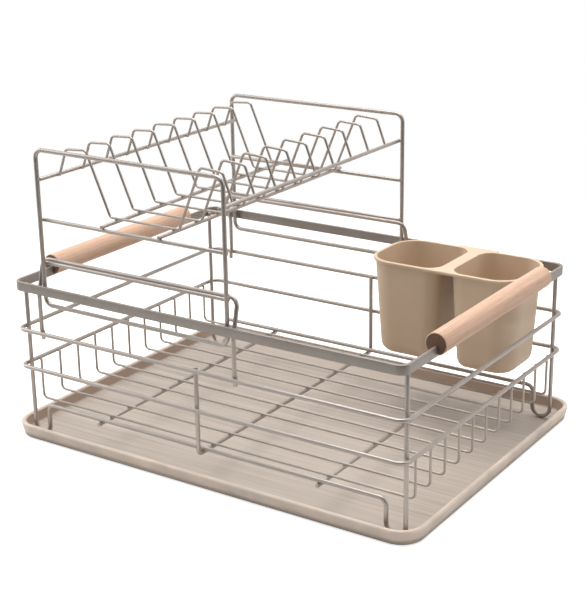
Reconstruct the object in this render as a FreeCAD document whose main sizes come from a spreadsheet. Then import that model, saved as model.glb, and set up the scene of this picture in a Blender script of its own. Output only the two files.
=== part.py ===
"""Two-tier dish rack: a drip tray, a wire basket with wooden handles, a cutlery caddy and a lift-off plate tier.

Millimetres. The origin is the middle of the drip tray's underside, X along the long side, Y to the back, Z up.
Heights of the basket and of what it carries are measured from the tray's floor, on which its feet stand.
"""

import FreeCAD, Part

import math
import os
import re

import Sketcher

Vector = FreeCAD.Vector

doc = FreeCAD.newDocument("DishRack")

# Driving sizes
SIZES = {
    # Wire and bar stock
    "heavy_wire": 4.0,
    "bar_wire": 3.6,
    "thin_wire": 2.4,
    # How far cuts run out of the solid
    "cut_spare": 1.0,
    # Drip tray
    "tray_end_margin": 13.0,
    "tray_side_margin": 11.0,
    "tray_height": 14.0,
    "tray_floor": 2.5,
    "tray_lip": 5.0,
    "tray_corner": 25.0,
    "tray_slope": 14.0,
    "tray_edge_round": 2.2,
    "tray_base_round": 1.2,
    # Basket: rim bar and rings
    "basket_shift_x": 4.0,
    "basket_shift_y": -10.0,
    "foot_gap": 0.3,
    "rim_length": 420.0,
    "rim_depth": 312.0,
    "rim_thickness": 3.0,
    "rim_height": 9.0,
    "rim_top": 156.9,
    "rim_corner": 10.0,
    "rim_edge_round": 0.5,
    "mid_ring_drop": 48.2,
    "ring_step": 37.2,
    "ring_inset": 1.4,
    "ring_bend": 9.0,
    # Basket: leg wires with posts, U feet and bottom bar
    "leg_wire_inset": 12.6,
    "post_drop": 4.4,
    "foot_width": 18.6,
    "foot_bend": 9.0,
    "bottom_bar_height": 31.6,
    "bottom_bar_bend": 6.5,
    # Basket: cross wires and grid
    "middle_cross_x": -2.0,
    "middle_cross_stand": 2.4,
    "cross_bend": 5.0,
    "side_cross_inset": 89.0,
    "side_cross_overhang": 4.1,
    "grid_count": 11,
    "grid_end_margin": 13.9,
    "grid_bend": 5.0,
    # Wooden handles
    "handle_diameter": 20.0,
    "handle_length": 206.0,
    "handle_axis_rise": 1.6,
    "handle_slot_gap": 1.0,
    "handle_edge_round": 0.8,
    # Cutlery caddy
    "caddy_tuck": 3.6,
    "caddy_depth": 84.2,
    "caddy_corner": 28.0,
    "caddy_bridge_corner": 17.0,
    "caddy_lip": 2.0,
    "caddy_wall": 1.5,
    "caddy_deck": 1.6,
    "caddy_skirt": 1.2,
    "caddy_mouth_rise": 0.2,
    "caddy_cup_gap": 10.4,
    "caddy_gap_shift": 3.7,
    "caddy_height": 95.4,
    "caddy_slope": 3.4,
    "caddy_base_round": 10.5,
    "caddy_side_gap": 0.5,
    "caddy_rim_gap": 0.4,
    "caddy_hook_width": 42.0,
    "caddy_hook_thickness": 1.2,
    "caddy_hook_drop": 7.0,
    "caddy_edge_round": 0.7,
    # Upper tier
    "tier_left_margin": 35.6,
    "frame_width": 208.2,
    "frame_inset": 6.6,
    "frame_height": 147.0,
    "frame_rim_drop": 19.4,
    "frame_bend": 8.0,
    "mid_bar_rise": 81.0,
    "low_bar_rise": 39.9,
    "top_rail_drop": 27.0,
    "top_rail_overhang": 1.6,
    "base_rail_spacing": 64.6,
    "base_rail_setback": 0.9,
    # Hook wires of the upper tier
    "hook_overhang": 6.8,
    "hook_bar_step": 3.1,
    "hook_bend": 8.0,
    "hook_lean_drop": 11.4,
    "hook_seat_rise": 3.2,
    "hook_joggle_drop": 2.4,
    "hook_tip_drop": 6.7,
    "hook_joggle_bend": 4.0,
    "tier_side_gap": 0.35,
    "hook_ring_gap": 0.3,
    # Dividers of the upper tier
    "divider_count": 9,
    "divider_end_margin": 22.2,
    "divider_end_drop": 1.0,
    "divider_shoulder_inset": 16.6,
    "divider_outer_drop": 2.5,
    "divider_shoulder_width": 23.5,
    "divider_inner_drop": 1.0,
    "divider_foot_overhang": 6.7,
    "divider_shoulder_bend": 4.5,
    "divider_foot_bend": 4.0,
}

# Sizes that follow from the others
FORMULAS = {
    # Drip tray
    "tray_length": "=rim_length + 2 * tray_end_margin",
    "tray_depth": "=rim_depth + 2 * tray_side_margin",
    # Basket: rim bar and rings
    "ring_half_x": "=rim_length / 2 - rim_thickness + heavy_wire / 2",
    "ring_half_y": "=rim_depth / 2 - rim_thickness + heavy_wire / 2 - ring_inset",
    "mid_ring_height": "=rim_top - mid_ring_drop",
    "lower_ring_height": "=mid_ring_height - ring_step",
    # Basket: leg wires with posts, U feet and bottom bar
    "post_half_x": "=rim_length / 2 - rim_thickness - heavy_wire / 2",
    "leg_wire_spacing": "=rim_depth - 2 * leg_wire_inset",
    "post_top": "=rim_top - post_drop",
    # Basket: cross wires and grid
    "cross_height": "=bottom_bar_height - heavy_wire",
    "middle_cross_top": "=mid_ring_height + middle_cross_stand",
    "side_cross_spacing": "=rim_length - 2 * side_cross_inset",
    "side_cross_length": "=leg_wire_spacing + 2 * side_cross_overhang",
    "grid_height": "=cross_height + (heavy_wire + thin_wire) / 2",
    "grid_pitch": "=(leg_wire_spacing - 2 * grid_end_margin) / (grid_count - 1)",
    # Wooden handles
    "handle_axis_height": "=rim_top + handle_axis_rise",
    # Upper tier
    "tier_shift": "=tier_left_margin + frame_width / 2 - rim_length / 2",
    "frame_spacing": "=rim_depth - 2 * frame_inset",
    "frame_bottom": "=rim_top - frame_rim_drop",
    "frame_top": "=frame_bottom + frame_height",
    "low_bar_height": "=frame_bottom + low_bar_rise",
    "mid_bar_height": "=frame_bottom + mid_bar_rise",
    "top_rail_height": "=frame_top - top_rail_drop",
    "top_rail_length": "=frame_spacing + 2 * top_rail_overhang",
    "base_rail_length": "=frame_spacing - 2 * base_rail_setback",
    "bar_half_y": "=frame_spacing / 2 - (heavy_wire + bar_wire) / 2",
    "top_rail_half_x": "=frame_width / 2 - (heavy_wire + bar_wire) / 2",
    "base_rail_height": "=mid_bar_height + bar_wire",
    # Hook wires of the upper tier
    "hook_joggle_top": "=mid_ring_height + hook_seat_rise",
    "hook_width": "=frame_width + 2 * hook_overhang",
    "hook_lean_end": "=rim_top - hook_lean_drop",
    "hook_tip": "=mid_ring_height - hook_tip_drop",
    "hook_bar_half_y": "=bar_half_y - hook_bar_step",
    "hook_bar_rise": "=sqrt(((heavy_wire + bar_wire) / 2)^2 - hook_bar_step^2)",
    "hook_leg_half_y": "=rim_depth / 2 - rim_thickness - tier_side_gap - heavy_wire / 2",
    "hook_tip_half_y": "=ring_half_y - hook_ring_gap - heavy_wire",
    # Cutlery caddy, between the hook wire of the tier and the handle
    "caddy_right": "=(rim_length - rim_thickness - handle_diameter) / 2 - caddy_side_gap",
    "caddy_back": "=rim_depth / 2 - rim_thickness - caddy_rim_gap",
    "caddy_width": "=caddy_right - tier_shift - hook_width / 2 + caddy_tuck",
    # Dividers of the upper tier
    "divider_end_half": "=top_rail_half_x - (bar_wire + thin_wire) / 2",
    "divider_foot_height": "=base_rail_height + (bar_wire + thin_wire) / 2",
    "divider_pitch": "=(frame_spacing - 2 * divider_end_margin) / (divider_count - 1)",
    "divider_end_height": "=top_rail_height - divider_end_drop",
    "divider_outer_half": "=frame_width / 2 - divider_shoulder_inset",
    "divider_outer_height": "=frame_top - divider_outer_drop",
    "divider_inner_half": "=divider_outer_half - divider_shoulder_width",
    "divider_inner_height": "=frame_top - divider_inner_drop",
    "divider_foot_half": "=base_rail_spacing / 2 + divider_foot_overhang",
}

sheet = doc.addObject("Spreadsheet::Sheet", "Sizes")
pieces = []
for row, (name, value) in enumerate({**SIZES, **FORMULAS}.items(), start=1):
    sheet.set("A%d" % row, name)
    sheet.set("B%d" % row, str(value))
    sheet.setAlias("B%d" % row, name)
doc.recompute()


def bound(formula):
    """Turns a formula of size names into an expression that reads them from the sheet."""
    return re.sub(r"(?<![\w.])([a-z_][a-z_0-9]*)(?![\w(])", r"Sizes.\1", formula)


def number(formula):
    """Value of a formula of size names."""
    return float(sheet.evalExpression(bound(formula)))


def bind(item, field, formula):
    """Binds one property of a document object to a formula of the sheet."""
    item.setExpression(field, bound(formula))


def place(item, x="0", y="0", z="0"):
    """Binds the place of a finished piece to formulas of the sheet."""
    for axis, formula in zip("xyz", (x, y, z)):
        bind(item, "Placement.Base." + axis, formula)


def in_basket(item, x="0", y="0", z="0"):
    """Places a piece by its spot in the basket, measured from the basket's middle just above the tray's floor."""
    place(item, "basket_shift_x + " + x, "basket_shift_y + " + y, "tray_floor + foot_gap + " + z)


def new_body(label):
    """Starts a sub-part as a body of its own."""
    body = doc.addObject("PartDesign::Body", label)
    body.Label = label
    pieces.append(body)
    return body


def new_sketch(body, name, plane, offset=None):
    """Starts a sketch on one of the body's own origin planes, moved along the plane's normal."""
    sketch = body.newObject("Sketcher::SketchObject", name)
    support = [item for item in body.Origin.OriginFeatures if item.Role == plane][0]
    sketch.AttachmentSupport = [(support, "")]
    sketch.MapMode = "FlatFace"
    if offset:
        bind(sketch, "AttachmentOffset.Base.z", offset)
    return sketch


def constrain(sketch, kind, targets, formula):
    """Adds one dimension to a sketch and binds it to a formula."""
    index = sketch.addConstraint(Sketcher.Constraint(kind, *targets, number(formula)))
    bind(sketch, "Constraints[%d]" % index, formula)


def pin(sketch, element, end, x, y):
    """Holds a point of a sketch at formulas of the sheet."""
    for kind, formula, axis in (("DistanceX", x, -2), ("DistanceY", y, -1)):
        if formula == "0":
            sketch.addConstraint(Sketcher.Constraint("PointOnObject", element, end, axis))
        else:
            constrain(sketch, kind, (element, end), formula)


def circle(sketch, x, y, diameter):
    """Draws a circle."""
    centre = Vector(number(x), number(y), 0)
    index = sketch.addGeometry(Part.Circle(centre, Vector(0, 0, 1), number(diameter) / 2))
    pin(sketch, index, 3, x, y)
    constrain(sketch, "Diameter", (index,), diameter)


def corner_arc(before, corner, after, radius):
    """Arc that rounds a corner between two straight runs, and the points where it leaves them."""
    back = (before - corner).normalize()
    ahead = (after - corner).normalize()
    half_angle = back.getAngle(ahead) / 2
    reach = radius / math.tan(half_angle)
    first = corner + back * reach
    last = corner + ahead * reach
    middle_way = (back + ahead).normalize()
    centre = corner + middle_way * (radius / math.sin(half_angle))
    return Part.Arc(first, centre - middle_way * radius, last), first, last


def rounded_path(sketch, corners, closed=False):
    """Draws straight runs whose corners are rounded by tangent arcs.

    Each corner is (x, y, radius), all formulas. An open path starts and ends at its first and last corner,
    which have no radius.
    """
    points = [Vector(number(x), number(y), 0) for x, y, radius in corners]
    count = len(corners)
    rounded = range(count) if closed else range(1, count - 1)
    arcs = {}
    for k in rounded:
        radius = number(corners[k][2])
        arcs[k] = corner_arc(points[k - 1], points[k], points[(k + 1) % count], radius)
    runs = []
    for k in range(count if closed else count - 1):
        after = (k + 1) % count
        start = arcs[k][2] if k in arcs else points[k]
        stop = arcs[after][1] if after in arcs else points[after]
        runs.append(sketch.addGeometry(Part.LineSegment(start, stop)))
    for k in rounded:
        before = runs[k - 1]
        after = runs[k]
        arc = sketch.addGeometry(arcs[k][0])
        turns_left = (points[k] - points[k - 1]).cross(points[(k + 1) % count] - points[k]).z > 0
        first_end = 1 if turns_left else 2
        last_end = 2 if turns_left else 1
        sketch.addConstraint(Sketcher.Constraint("Tangent", before, 2, arc, first_end))
        sketch.addConstraint(Sketcher.Constraint("Tangent", after, 1, arc, last_end))
        constrain(sketch, "Radius", (arc,), corners[k][2])
        mark = sketch.addGeometry(Part.Point(points[k]), True)
        pin(sketch, mark, 1, corners[k][0], corners[k][1])
        sketch.addConstraint(Sketcher.Constraint("PointOnObject", mark, 1, before))
        sketch.addConstraint(Sketcher.Constraint("PointOnObject", mark, 1, after))
    if not closed:
        pin(sketch, runs[0], 1, corners[0][0], corners[0][1])
        pin(sketch, runs[-1], 2, corners[-1][0], corners[-1][1])


def rounded_box_path(sketch, left, right, half_y, left_radius, right_radius):
    """Draws a closed rectangle whose corners are rounded by one radius at each end."""
    bottom = "-(%s)" % half_y
    corners = [
        (left, bottom, left_radius),
        (right, bottom, right_radius),
        (right, half_y, right_radius),
        (left, half_y, left_radius),
    ]
    rounded_path(sketch, corners, closed=True)


def rounded_rectangle(sketch, half_x, half_y, radius):
    """Draws a rounded rectangle about the middle of the sketch."""
    rounded_box_path(sketch, "-(%s)" % half_x, half_x, half_y, radius, radius)


def pipe(body, profile, spine):
    """Sweeps a round profile along a path."""
    feature = body.newObject("PartDesign::AdditivePipe", body.Name + "_wire")
    feature.Profile = profile
    feature.Spine = spine
    return feature


def pad(body, sketch, name, length, downward=False, slope=None):
    """Thickens a sketch."""
    feature = body.newObject("PartDesign::Pad", name)
    feature.Profile = sketch
    feature.Reversed = downward
    bind(feature, "Length", length)
    if slope:
        bind(feature, "TaperAngle", slope)
    return feature


def pocket(body, sketch, name, depth, upward=False, slope=None):
    """Cuts a sketch into the solid."""
    feature = body.newObject("PartDesign::Pocket", name)
    feature.Profile = sketch
    feature.Reversed = upward
    bind(feature, "Length", depth)
    if slope:
        bind(feature, "TaperAngle", slope)
    return feature


def round_edges(body, base, name, radius, chosen):
    """Rounds the edges of a feature that the given test picks."""
    doc.recompute()
    names = []
    for k, edge in enumerate(base.Shape.Edges):
        if chosen(edge.BoundBox):
            names.append("Edge%d" % (k + 1))
    feature = body.newObject("PartDesign::Fillet", name)
    feature.Base = (base, names)
    bind(feature, "Radius", radius)
    return feature


def level(height):
    """Test for edges that lie flat at a height."""
    wanted = number(height)
    return lambda box: abs(box.ZMin - wanted) < 0.01 and abs(box.ZMax - wanted) < 0.01


def straight_rod(label, diameter, length, along):
    """A straight round wire, its middle at the piece's origin, along X or Y."""
    body = new_body(label)
    plane = {"x": "YZ_Plane", "y": "XZ_Plane"}[along]
    sketch = new_sketch(body, label + "_section", plane)
    circle(sketch, "0", "0", diameter)
    rod = pad(body, sketch, label + "_rod", length)
    rod.SideType = "Symmetric"
    return body


def flat_ring(label, height):
    """A round wire bent to a rounded rectangle that lies flat inside the rim's line."""
    body = new_body(label)
    path = new_sketch(body, label + "_path", "XY_Plane")
    corners = [
        ("0", "-ring_half_y", None),
        ("ring_half_x", "-ring_half_y", "ring_bend"),
        ("ring_half_x", "ring_half_y", "ring_bend"),
        ("-ring_half_x", "ring_half_y", "ring_bend"),
        ("-ring_half_x", "-ring_half_y", "ring_bend"),
        ("0", "-ring_half_y", None),
    ]
    rounded_path(path, corners)
    section = new_sketch(body, label + "_section", "YZ_Plane")
    circle(section, "-ring_half_y", "0", "heavy_wire")
    pipe(body, section, path)
    in_basket(body, z=height)


# Drip tray
def build_tray():
    """Shallow tray with a sloped wall, a rounded lip and rounded corners."""
    body = new_body("drip_tray")
    rise = "tray_height * tan(tray_slope)"
    sink = "(tray_height - tray_floor) * tan(tray_slope)"
    foot = new_sketch(body, "tray_foot", "XY_Plane")
    rounded_rectangle(
        foot, "tray_length / 2 - " + rise, "tray_depth / 2 - " + rise, "tray_corner - " + rise
    )
    wall = pad(body, foot, "tray_wall", "tray_height", slope="tray_slope")
    basin = new_sketch(body, "tray_basin", "XY_Plane", "tray_floor")
    inset = "tray_lip - " + sink
    rounded_rectangle(
        basin, "tray_length / 2 - " + inset, "tray_depth / 2 - " + inset, "tray_corner - " + inset
    )
    doc.recompute()
    hollow = pocket(
        body, basin, "tray_hollow", "tray_height - tray_floor + cut_spare", upward=True, slope="tray_slope"
    )
    lip = round_edges(body, hollow, "tray_lip_round", "tray_edge_round", level("tray_height"))
    base = round_edges(body, lip, "tray_base_edge", "tray_base_round", level("0"))
    body.Tip = base
    place(body)


# Basket
def build_rim():
    """Flat bar on edge, bent to a rounded rectangle."""
    body = new_body("rim_bar")
    outline = new_sketch(body, "rim_outline", "XY_Plane")
    rounded_rectangle(outline, "rim_length / 2", "rim_depth / 2", "rim_corner")
    rounded_rectangle(
        outline, "rim_length / 2 - rim_thickness", "rim_depth / 2 - rim_thickness", "rim_corner - rim_thickness"
    )
    band = pad(body, outline, "rim_band", "rim_height")
    top = round_edges(body, band, "rim_top_edges", "rim_edge_round", level("rim_height"))
    base = round_edges(body, top, "rim_base_edges", "rim_edge_round", level("0"))
    body.Tip = base
    in_basket(body, z="rim_top - rim_height")


def build_handle(label, side):
    """Wooden dowel with a slot from below that sits down over the rim bar."""
    body = new_body(label)
    section = new_sketch(body, label + "_section", "XZ_Plane")
    circle(section, "0", "0", "handle_diameter")
    dowel = pad(body, section, label + "_dowel", "handle_length")
    dowel.SideType = "Symmetric"
    doc.recompute()
    slot = new_sketch(body, label + "_slot", "XZ_Plane")
    half_slot = "rim_thickness / 2 + handle_slot_gap"
    draw_rectangle(slot, "-(%s)" % half_slot, half_slot, "-handle_diameter", "rim_top - handle_axis_height")
    cut = pocket(body, slot, label + "_slot_cut", "handle_length + 2 * cut_spare")
    cut.SideType = "Symmetric"
    doc.recompute()
    half_length = number("handle_length / 2")
    radius = number("handle_diameter / 2")

    def outer_end_edge(box):
        at_end = abs(abs(box.YMin) - half_length) < 0.01 and abs(box.YMax - box.YMin) < 0.01
        return at_end and box.XMax - box.XMin > radius

    ends = round_edges(body, cut, label + "_ends", "handle_edge_round", outer_end_edge)
    body.Tip = ends
    in_basket(body, x="%s * (rim_length - rim_thickness) / 2" % side, z="handle_axis_height")


def draw_rectangle(sketch, left, right, bottom, top):
    """Draws a rectangle from formulas of its four sides."""
    corners = [(left, bottom), (right, bottom), (right, top), (left, top)]
    points = [Vector(number(x), number(y), 0) for x, y in corners]
    lines = []
    for k in range(4):
        lines.append(sketch.addGeometry(Part.LineSegment(points[k], points[(k + 1) % 4])))
    for k in range(4):
        sketch.addConstraint(Sketcher.Constraint("Coincident", lines[k], 2, lines[(k + 1) % 4], 1))
    for k in (0, 2):
        sketch.addConstraint(Sketcher.Constraint("Horizontal", lines[k]))
        sketch.addConstraint(Sketcher.Constraint("Vertical", lines[k + 1]))
    pin(sketch, lines[0], 1, left, bottom)
    pin(sketch, lines[2], 1, right, top)


def build_leg_wire(label, side):
    """One bent wire: a post at each end, two U feet and the bottom bar between them."""
    body = new_body(label)
    path = new_sketch(body, label + "_path", "XZ_Plane")
    floor = "heavy_wire / 2"
    inner = "post_half_x - foot_width"
    corners = [("-post_half_x", "post_top", None)]
    corners.append(("-post_half_x", floor, "foot_bend"))
    corners.append(("-(%s)" % inner, floor, "foot_bend"))
    corners.append(("-(%s)" % inner, "bottom_bar_height", "bottom_bar_bend"))
    corners.append((inner, "bottom_bar_height", "bottom_bar_bend"))
    corners.append((inner, floor, "foot_bend"))
    corners.append(("post_half_x", floor, "foot_bend"))
    corners.append(("post_half_x", "post_top", None))
    rounded_path(path, corners)
    section = new_sketch(body, label + "_section", "XY_Plane", "post_top")
    circle(section, "-post_half_x", "0", "heavy_wire")
    pipe(body, section, path)
    in_basket(body, y="%s * leg_wire_spacing / 2" % side)


def build_middle_cross_wire():
    """Wide U wire across the basket that carries the grid and stands up to the mid ring."""
    body = new_body("middle_cross_wire")
    path = new_sketch(body, "middle_cross_path", "YZ_Plane")
    half = "ring_half_y - heavy_wire"
    corners = [
        ("-(%s)" % half, "middle_cross_top", None),
        ("-(%s)" % half, "cross_height", "cross_bend"),
        (half, "cross_height", "cross_bend"),
        (half, "middle_cross_top", None),
    ]
    rounded_path(path, corners)
    section = new_sketch(body, "middle_cross_section", "XY_Plane", "middle_cross_top")
    circle(section, "0", "-(%s)" % half, "heavy_wire")
    pipe(body, section, path)
    in_basket(body, x="middle_cross_x")


def build_grid_wire(label, index):
    """Thin wide U wire of the basket's floor, its ends standing inside the lower ring."""
    body = new_body(label)
    half = "ring_half_x - (heavy_wire + thin_wire) / 2"
    path = new_sketch(body, label + "_path", "XZ_Plane")
    corners = [
        ("-(%s)" % half, "lower_ring_height", None),
        ("-(%s)" % half, "grid_height", "grid_bend"),
        (half, "grid_height", "grid_bend"),
        (half, "lower_ring_height", None),
    ]
    rounded_path(path, corners)
    section = new_sketch(body, label + "_section", "XY_Plane", "lower_ring_height")
    circle(section, "-(%s)" % half, "0", "thin_wire")
    pipe(body, section, path)
    in_basket(body, y="(%d - (grid_count - 1) / 2) * grid_pitch" % index)


# Cutlery caddy
def tapered_cup(body, name, ends, half_y, corners, top, depth, base_round):
    """Adds a rounded cup shape that narrows downward and has a rounded base.

    The ends are the formulas of its left and right side, the corners the formulas of the radii there.
    """
    left, right = ends
    outline = new_sketch(body, name + "_outline", "XY_Plane", top)
    rounded_box_path(outline, left, right, half_y, *corners)
    cup = pad(body, outline, name + "_form", depth, downward=True, slope="-caddy_slope")
    floor_level = level("%s - (%s)" % (top, depth))
    middle = number("(%s + %s) / 2" % (left, right))
    half_width = number("(%s - (%s)) / 2" % (right, left))

    def floor_edge(box):
        return floor_level(box) and abs((box.XMin + box.XMax) / 2 - middle) < half_width

    return round_edges(body, cup, name + "_base", base_round, floor_edge)


def build_caddy():
    """Moulded caddy: a deck with two tapered cups, hooked over the back of the rim."""
    shell = doc.addObject("PartDesign::Body", "caddy_outside")
    deck = new_sketch(shell, "caddy_deck_outline", "XY_Plane")
    rounded_rectangle(deck, "caddy_width / 2", "caddy_depth / 2", "caddy_corner")
    plate = pad(shell, deck, "caddy_deck_plate", "caddy_deck + caddy_skirt", downward=True)
    round_edges(shell, plate, "caddy_deck_edges", "caddy_edge_round", level("0"))
    doc.recompute()

    outer = "caddy_corner - caddy_lip"
    cups = (
        (
            "left",
            ("-(caddy_width / 2 - caddy_lip)", "caddy_gap_shift - caddy_cup_gap / 2"),
            (outer, "caddy_bridge_corner"),
        ),
        (
            "right",
            ("caddy_gap_shift + caddy_cup_gap / 2", "caddy_width / 2 - caddy_lip"),
            ("caddy_bridge_corner", outer),
        ),
    )
    half_y = "caddy_depth / 2 - caddy_lip"
    for name, ends, corners in cups:
        tapered_cup(
            shell, "caddy_%s_cup" % name, ends, half_y, corners, "-(caddy_deck)", "caddy_height", "caddy_base_round"
        )
    doc.recompute()

    hook_back = "caddy_depth / 2 + 2 * caddy_rim_gap + rim_thickness + caddy_hook_thickness"
    for name, front, drop in (
        ("tab", half_y, "caddy_hook_thickness"),
        ("flange", hook_back + " - caddy_hook_thickness", "caddy_hook_thickness + caddy_hook_drop"),
    ):
        outline = new_sketch(shell, "caddy_%s_outline" % name, "XY_Plane", "caddy_hook_thickness - caddy_deck")
        draw_rectangle(outline, "-caddy_hook_width / 2", "caddy_hook_width / 2", front, hook_back)
        hook = pad(shell, outline, "caddy_hook_" + name, drop, downward=True)
    shell.Tip = hook

    solid = shell
    for name, (left, right), corners in cups:
        core = doc.addObject("PartDesign::Body", "caddy_%s_space" % name)
        tapered_cup(
            core,
            "caddy_%s_hollow" % name,
            (left + " + caddy_wall", right + " - caddy_wall"),
            half_y + " - caddy_wall",
            [radius + " - caddy_wall" for radius in corners],
            "caddy_mouth_rise",
            "caddy_mouth_rise + caddy_deck + caddy_height - caddy_wall",
            "caddy_base_round - caddy_wall",
        )
        hollowed = doc.addObject("Part::Cut", "caddy_less_" + name)
        hollowed.Base = solid
        hollowed.Tool = core
        solid = hollowed
    solid.Label = "cutlery_caddy"
    pieces.append(solid)
    in_basket(
        solid,
        x="caddy_right - caddy_width / 2",
        y="caddy_back - caddy_depth / 2",
        z="rim_top + caddy_deck",
    )


# Upper tier
def build_end_frame(label, side):
    """Closed upright wire frame at one end of the plate tier."""
    body = new_body(label)
    path = new_sketch(body, label + "_path", "XZ_Plane")
    half = "frame_width / 2"
    corners = [
        ("0", "frame_bottom", None),
        (half, "frame_bottom", "frame_bend"),
        (half, "frame_top", "frame_bend"),
        ("-" + half, "frame_top", "frame_bend"),
        ("-" + half, "frame_bottom", "frame_bend"),
        ("0", "frame_bottom", None),
    ]
    rounded_path(path, corners)
    section = new_sketch(body, label + "_section", "YZ_Plane")
    circle(section, "0", "frame_bottom", "heavy_wire")
    pipe(body, section, path)
    in_basket(body, x="tier_shift", y="%s * frame_spacing / 2" % side)


def build_tier_bar(label, side, height):
    """Straight crossbar welded to the inside of an end frame's legs."""
    body = straight_rod(label, "bar_wire", "frame_width", "x")
    in_basket(body, x="tier_shift", y="%s * bar_half_y" % side, z=height)


def build_tier_rail(label, length, offset, height):
    """Straight rail along the plate tier."""
    body = straight_rod(label, "bar_wire", length, "y")
    in_basket(body, x="tier_shift + " + offset, z=height)


def build_divider(label, index):
    """Thin plate divider: two sloped arms with flat shoulders, bent from one wire."""
    body = new_body(label)
    path = new_sketch(body, label + "_path", "XZ_Plane")
    corners = [
        ("0", "divider_foot_height", None),
        ("divider_foot_half", "divider_foot_height", "divider_foot_bend"),
        ("divider_inner_half", "divider_inner_height", "divider_shoulder_bend"),
        ("divider_outer_half", "divider_outer_height", "divider_shoulder_bend"),
        ("divider_end_half", "divider_end_height", None),
    ]
    rounded_path(path, corners)
    section = new_sketch(body, label + "_section", "YZ_Plane")
    circle(section, "0", "divider_foot_height", "thin_wire")
    half = pipe(body, section, path)
    doc.recompute()
    other_half = body.newObject("PartDesign::Mirrored", label + "_other_half")
    other_half.Originals = [half]
    mirror_plane = [item for item in body.Origin.OriginFeatures if item.Role == "YZ_Plane"][0]
    other_half.MirrorPlane = (mirror_plane, [""])
    body.Tip = other_half
    in_basket(body, x="tier_shift", y="(%d - (divider_count - 1) / 2) * divider_pitch" % index)


def bent_rod(points, radii, diameter):
    """Solid round wire along points in space, each inner corner rounded by its radius."""
    edges = []
    start = points[0]
    for k in range(1, len(points) - 1):
        arc, first, last = corner_arc(points[k - 1], points[k], points[k + 1], radii[k])
        edges.append(Part.LineSegment(start, first).toShape())
        edges.append(arc.toShape())
        start = last
    edges.append(Part.LineSegment(start, points[-1]).toShape())
    spine = Part.Wire(edges)
    ring = Part.Circle(points[0], points[1] - points[0], diameter / 2).toShape()
    return spine.makePipeShell([Part.Wire([ring])], True, True)


def build_hook_wire(label, side, bar_rise):
    """Bent wire that carries the tier.

    Its bar lies against the lower crossbar. Each leg leans out to the rim, runs down inside it and steps
    inward above the mid ring, on which the step rests.
    """
    half = number("hook_width / 2")
    bar = Vector(0, side * number("hook_bar_half_y"), number("low_bar_height + " + bar_rise))
    heights = ["hook_lean_end", "hook_joggle_top", "hook_joggle_top - hook_joggle_drop", "hook_tip"]
    half_depths = ["hook_leg_half_y", "hook_leg_half_y", "hook_tip_half_y", "hook_tip_half_y"]
    leg = [Vector(0, side * number(y), number(z)) for y, z in zip(half_depths, heights)]
    left = Vector(-half, 0, 0)
    right = Vector(half, 0, 0)
    points = [left + spot for spot in reversed(leg)] + [left + bar, right + bar] + [right + spot for spot in leg]
    step_bend = number("hook_joggle_bend")
    bar_bend = number("hook_bend")
    radii = [0, step_bend, step_bend, bar_bend, bar_bend, bar_bend, bar_bend, step_bend, step_bend, 0]
    wire = doc.addObject("Part::Feature", label)
    wire.Label = label
    wire.Shape = bent_rod(points, radii, number("heavy_wire"))
    in_basket(wire, x="tier_shift")
    pieces.append(wire)


build_tray()
build_rim()
build_handle("handle_left", "-1")
build_handle("handle_right", "1")
flat_ring("mid_ring", "mid_ring_height")
flat_ring("lower_ring", "lower_ring_height")
build_leg_wire("front_leg_wire", "-1")
build_leg_wire("back_leg_wire", "1")
build_middle_cross_wire()
for name, side in (("left", "-1"), ("right", "1")):
    cross = straight_rod("side_cross_wire_" + name, "heavy_wire", "side_cross_length", "y")
    in_basket(cross, x="%s * side_cross_spacing / 2" % side, z="cross_height")
for k in range(int(number("grid_count"))):
    build_grid_wire("grid_wire_%02d" % (k + 1), k)
build_caddy()
for name, side, hook_rise in (("front", "-1", "hook_bar_rise"), ("back", "1", "-hook_bar_rise")):
    build_end_frame("tier_end_frame_" + name, side)
    build_tier_bar("tier_middle_bar_" + name, side, "mid_bar_height")
    build_tier_bar("tier_lower_bar_" + name, side, "low_bar_height")
    build_hook_wire("tier_hook_wire_" + name, int(side), hook_rise)
for name, side in (("left", "-1"), ("right", "1")):
    build_tier_rail("tier_top_rail_" + name, "top_rail_length", side + " * top_rail_half_x", "top_rail_height")
    build_tier_rail(
        "tier_base_rail_" + name, "base_rail_length", side + " * base_rail_spacing / 2", "base_rail_height"
    )
for k in range(int(number("divider_count"))):
    build_divider("plate_divider_%d" % (k + 1), k)

doc.recompute()

# Every object is sound before anything is written
for item in doc.Objects:
    if "Invalid" in item.State or "Error" in item.State:
        raise ValueError("%s failed: %s" % (item.Label, item.State))
for piece in pieces:
    if piece.Shape.isNull() or not piece.Shape.isValid() or piece.Shape.Volume <= 0:
        raise ValueError("%s has no sound shape" % piece.Label)
    if len(piece.Shape.Solids) != 1:
        raise ValueError("%s is %d solids" % (piece.Label, len(piece.Shape.Solids)))

os.makedirs("parts", exist_ok=True)
for piece in pieces:
    piece.Shape.exportStep("parts/%s.step" % piece.Label)
print("%d sub-parts written" % len(pieces))
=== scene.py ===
"""Finishes the two-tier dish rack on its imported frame.

It makes smooth coated wires, a streaked tray with a round lip, wooden handles and a moulded caddy, with their
materials, a plain studio and the camera.

The rack's sizes and the camera's place are written in millimetres and become metres when they are used. What
belongs to the finishes, the floor and the lamps is in metres. The origin is the middle of the drip tray's
underside, X along the long side, Y to the back, Z up.
"""

import logging
import math
from dataclasses import dataclass, field
from enum import Enum

import bmesh
import bpy
import numpy as np
from mathutils import Matrix, Vector

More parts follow.
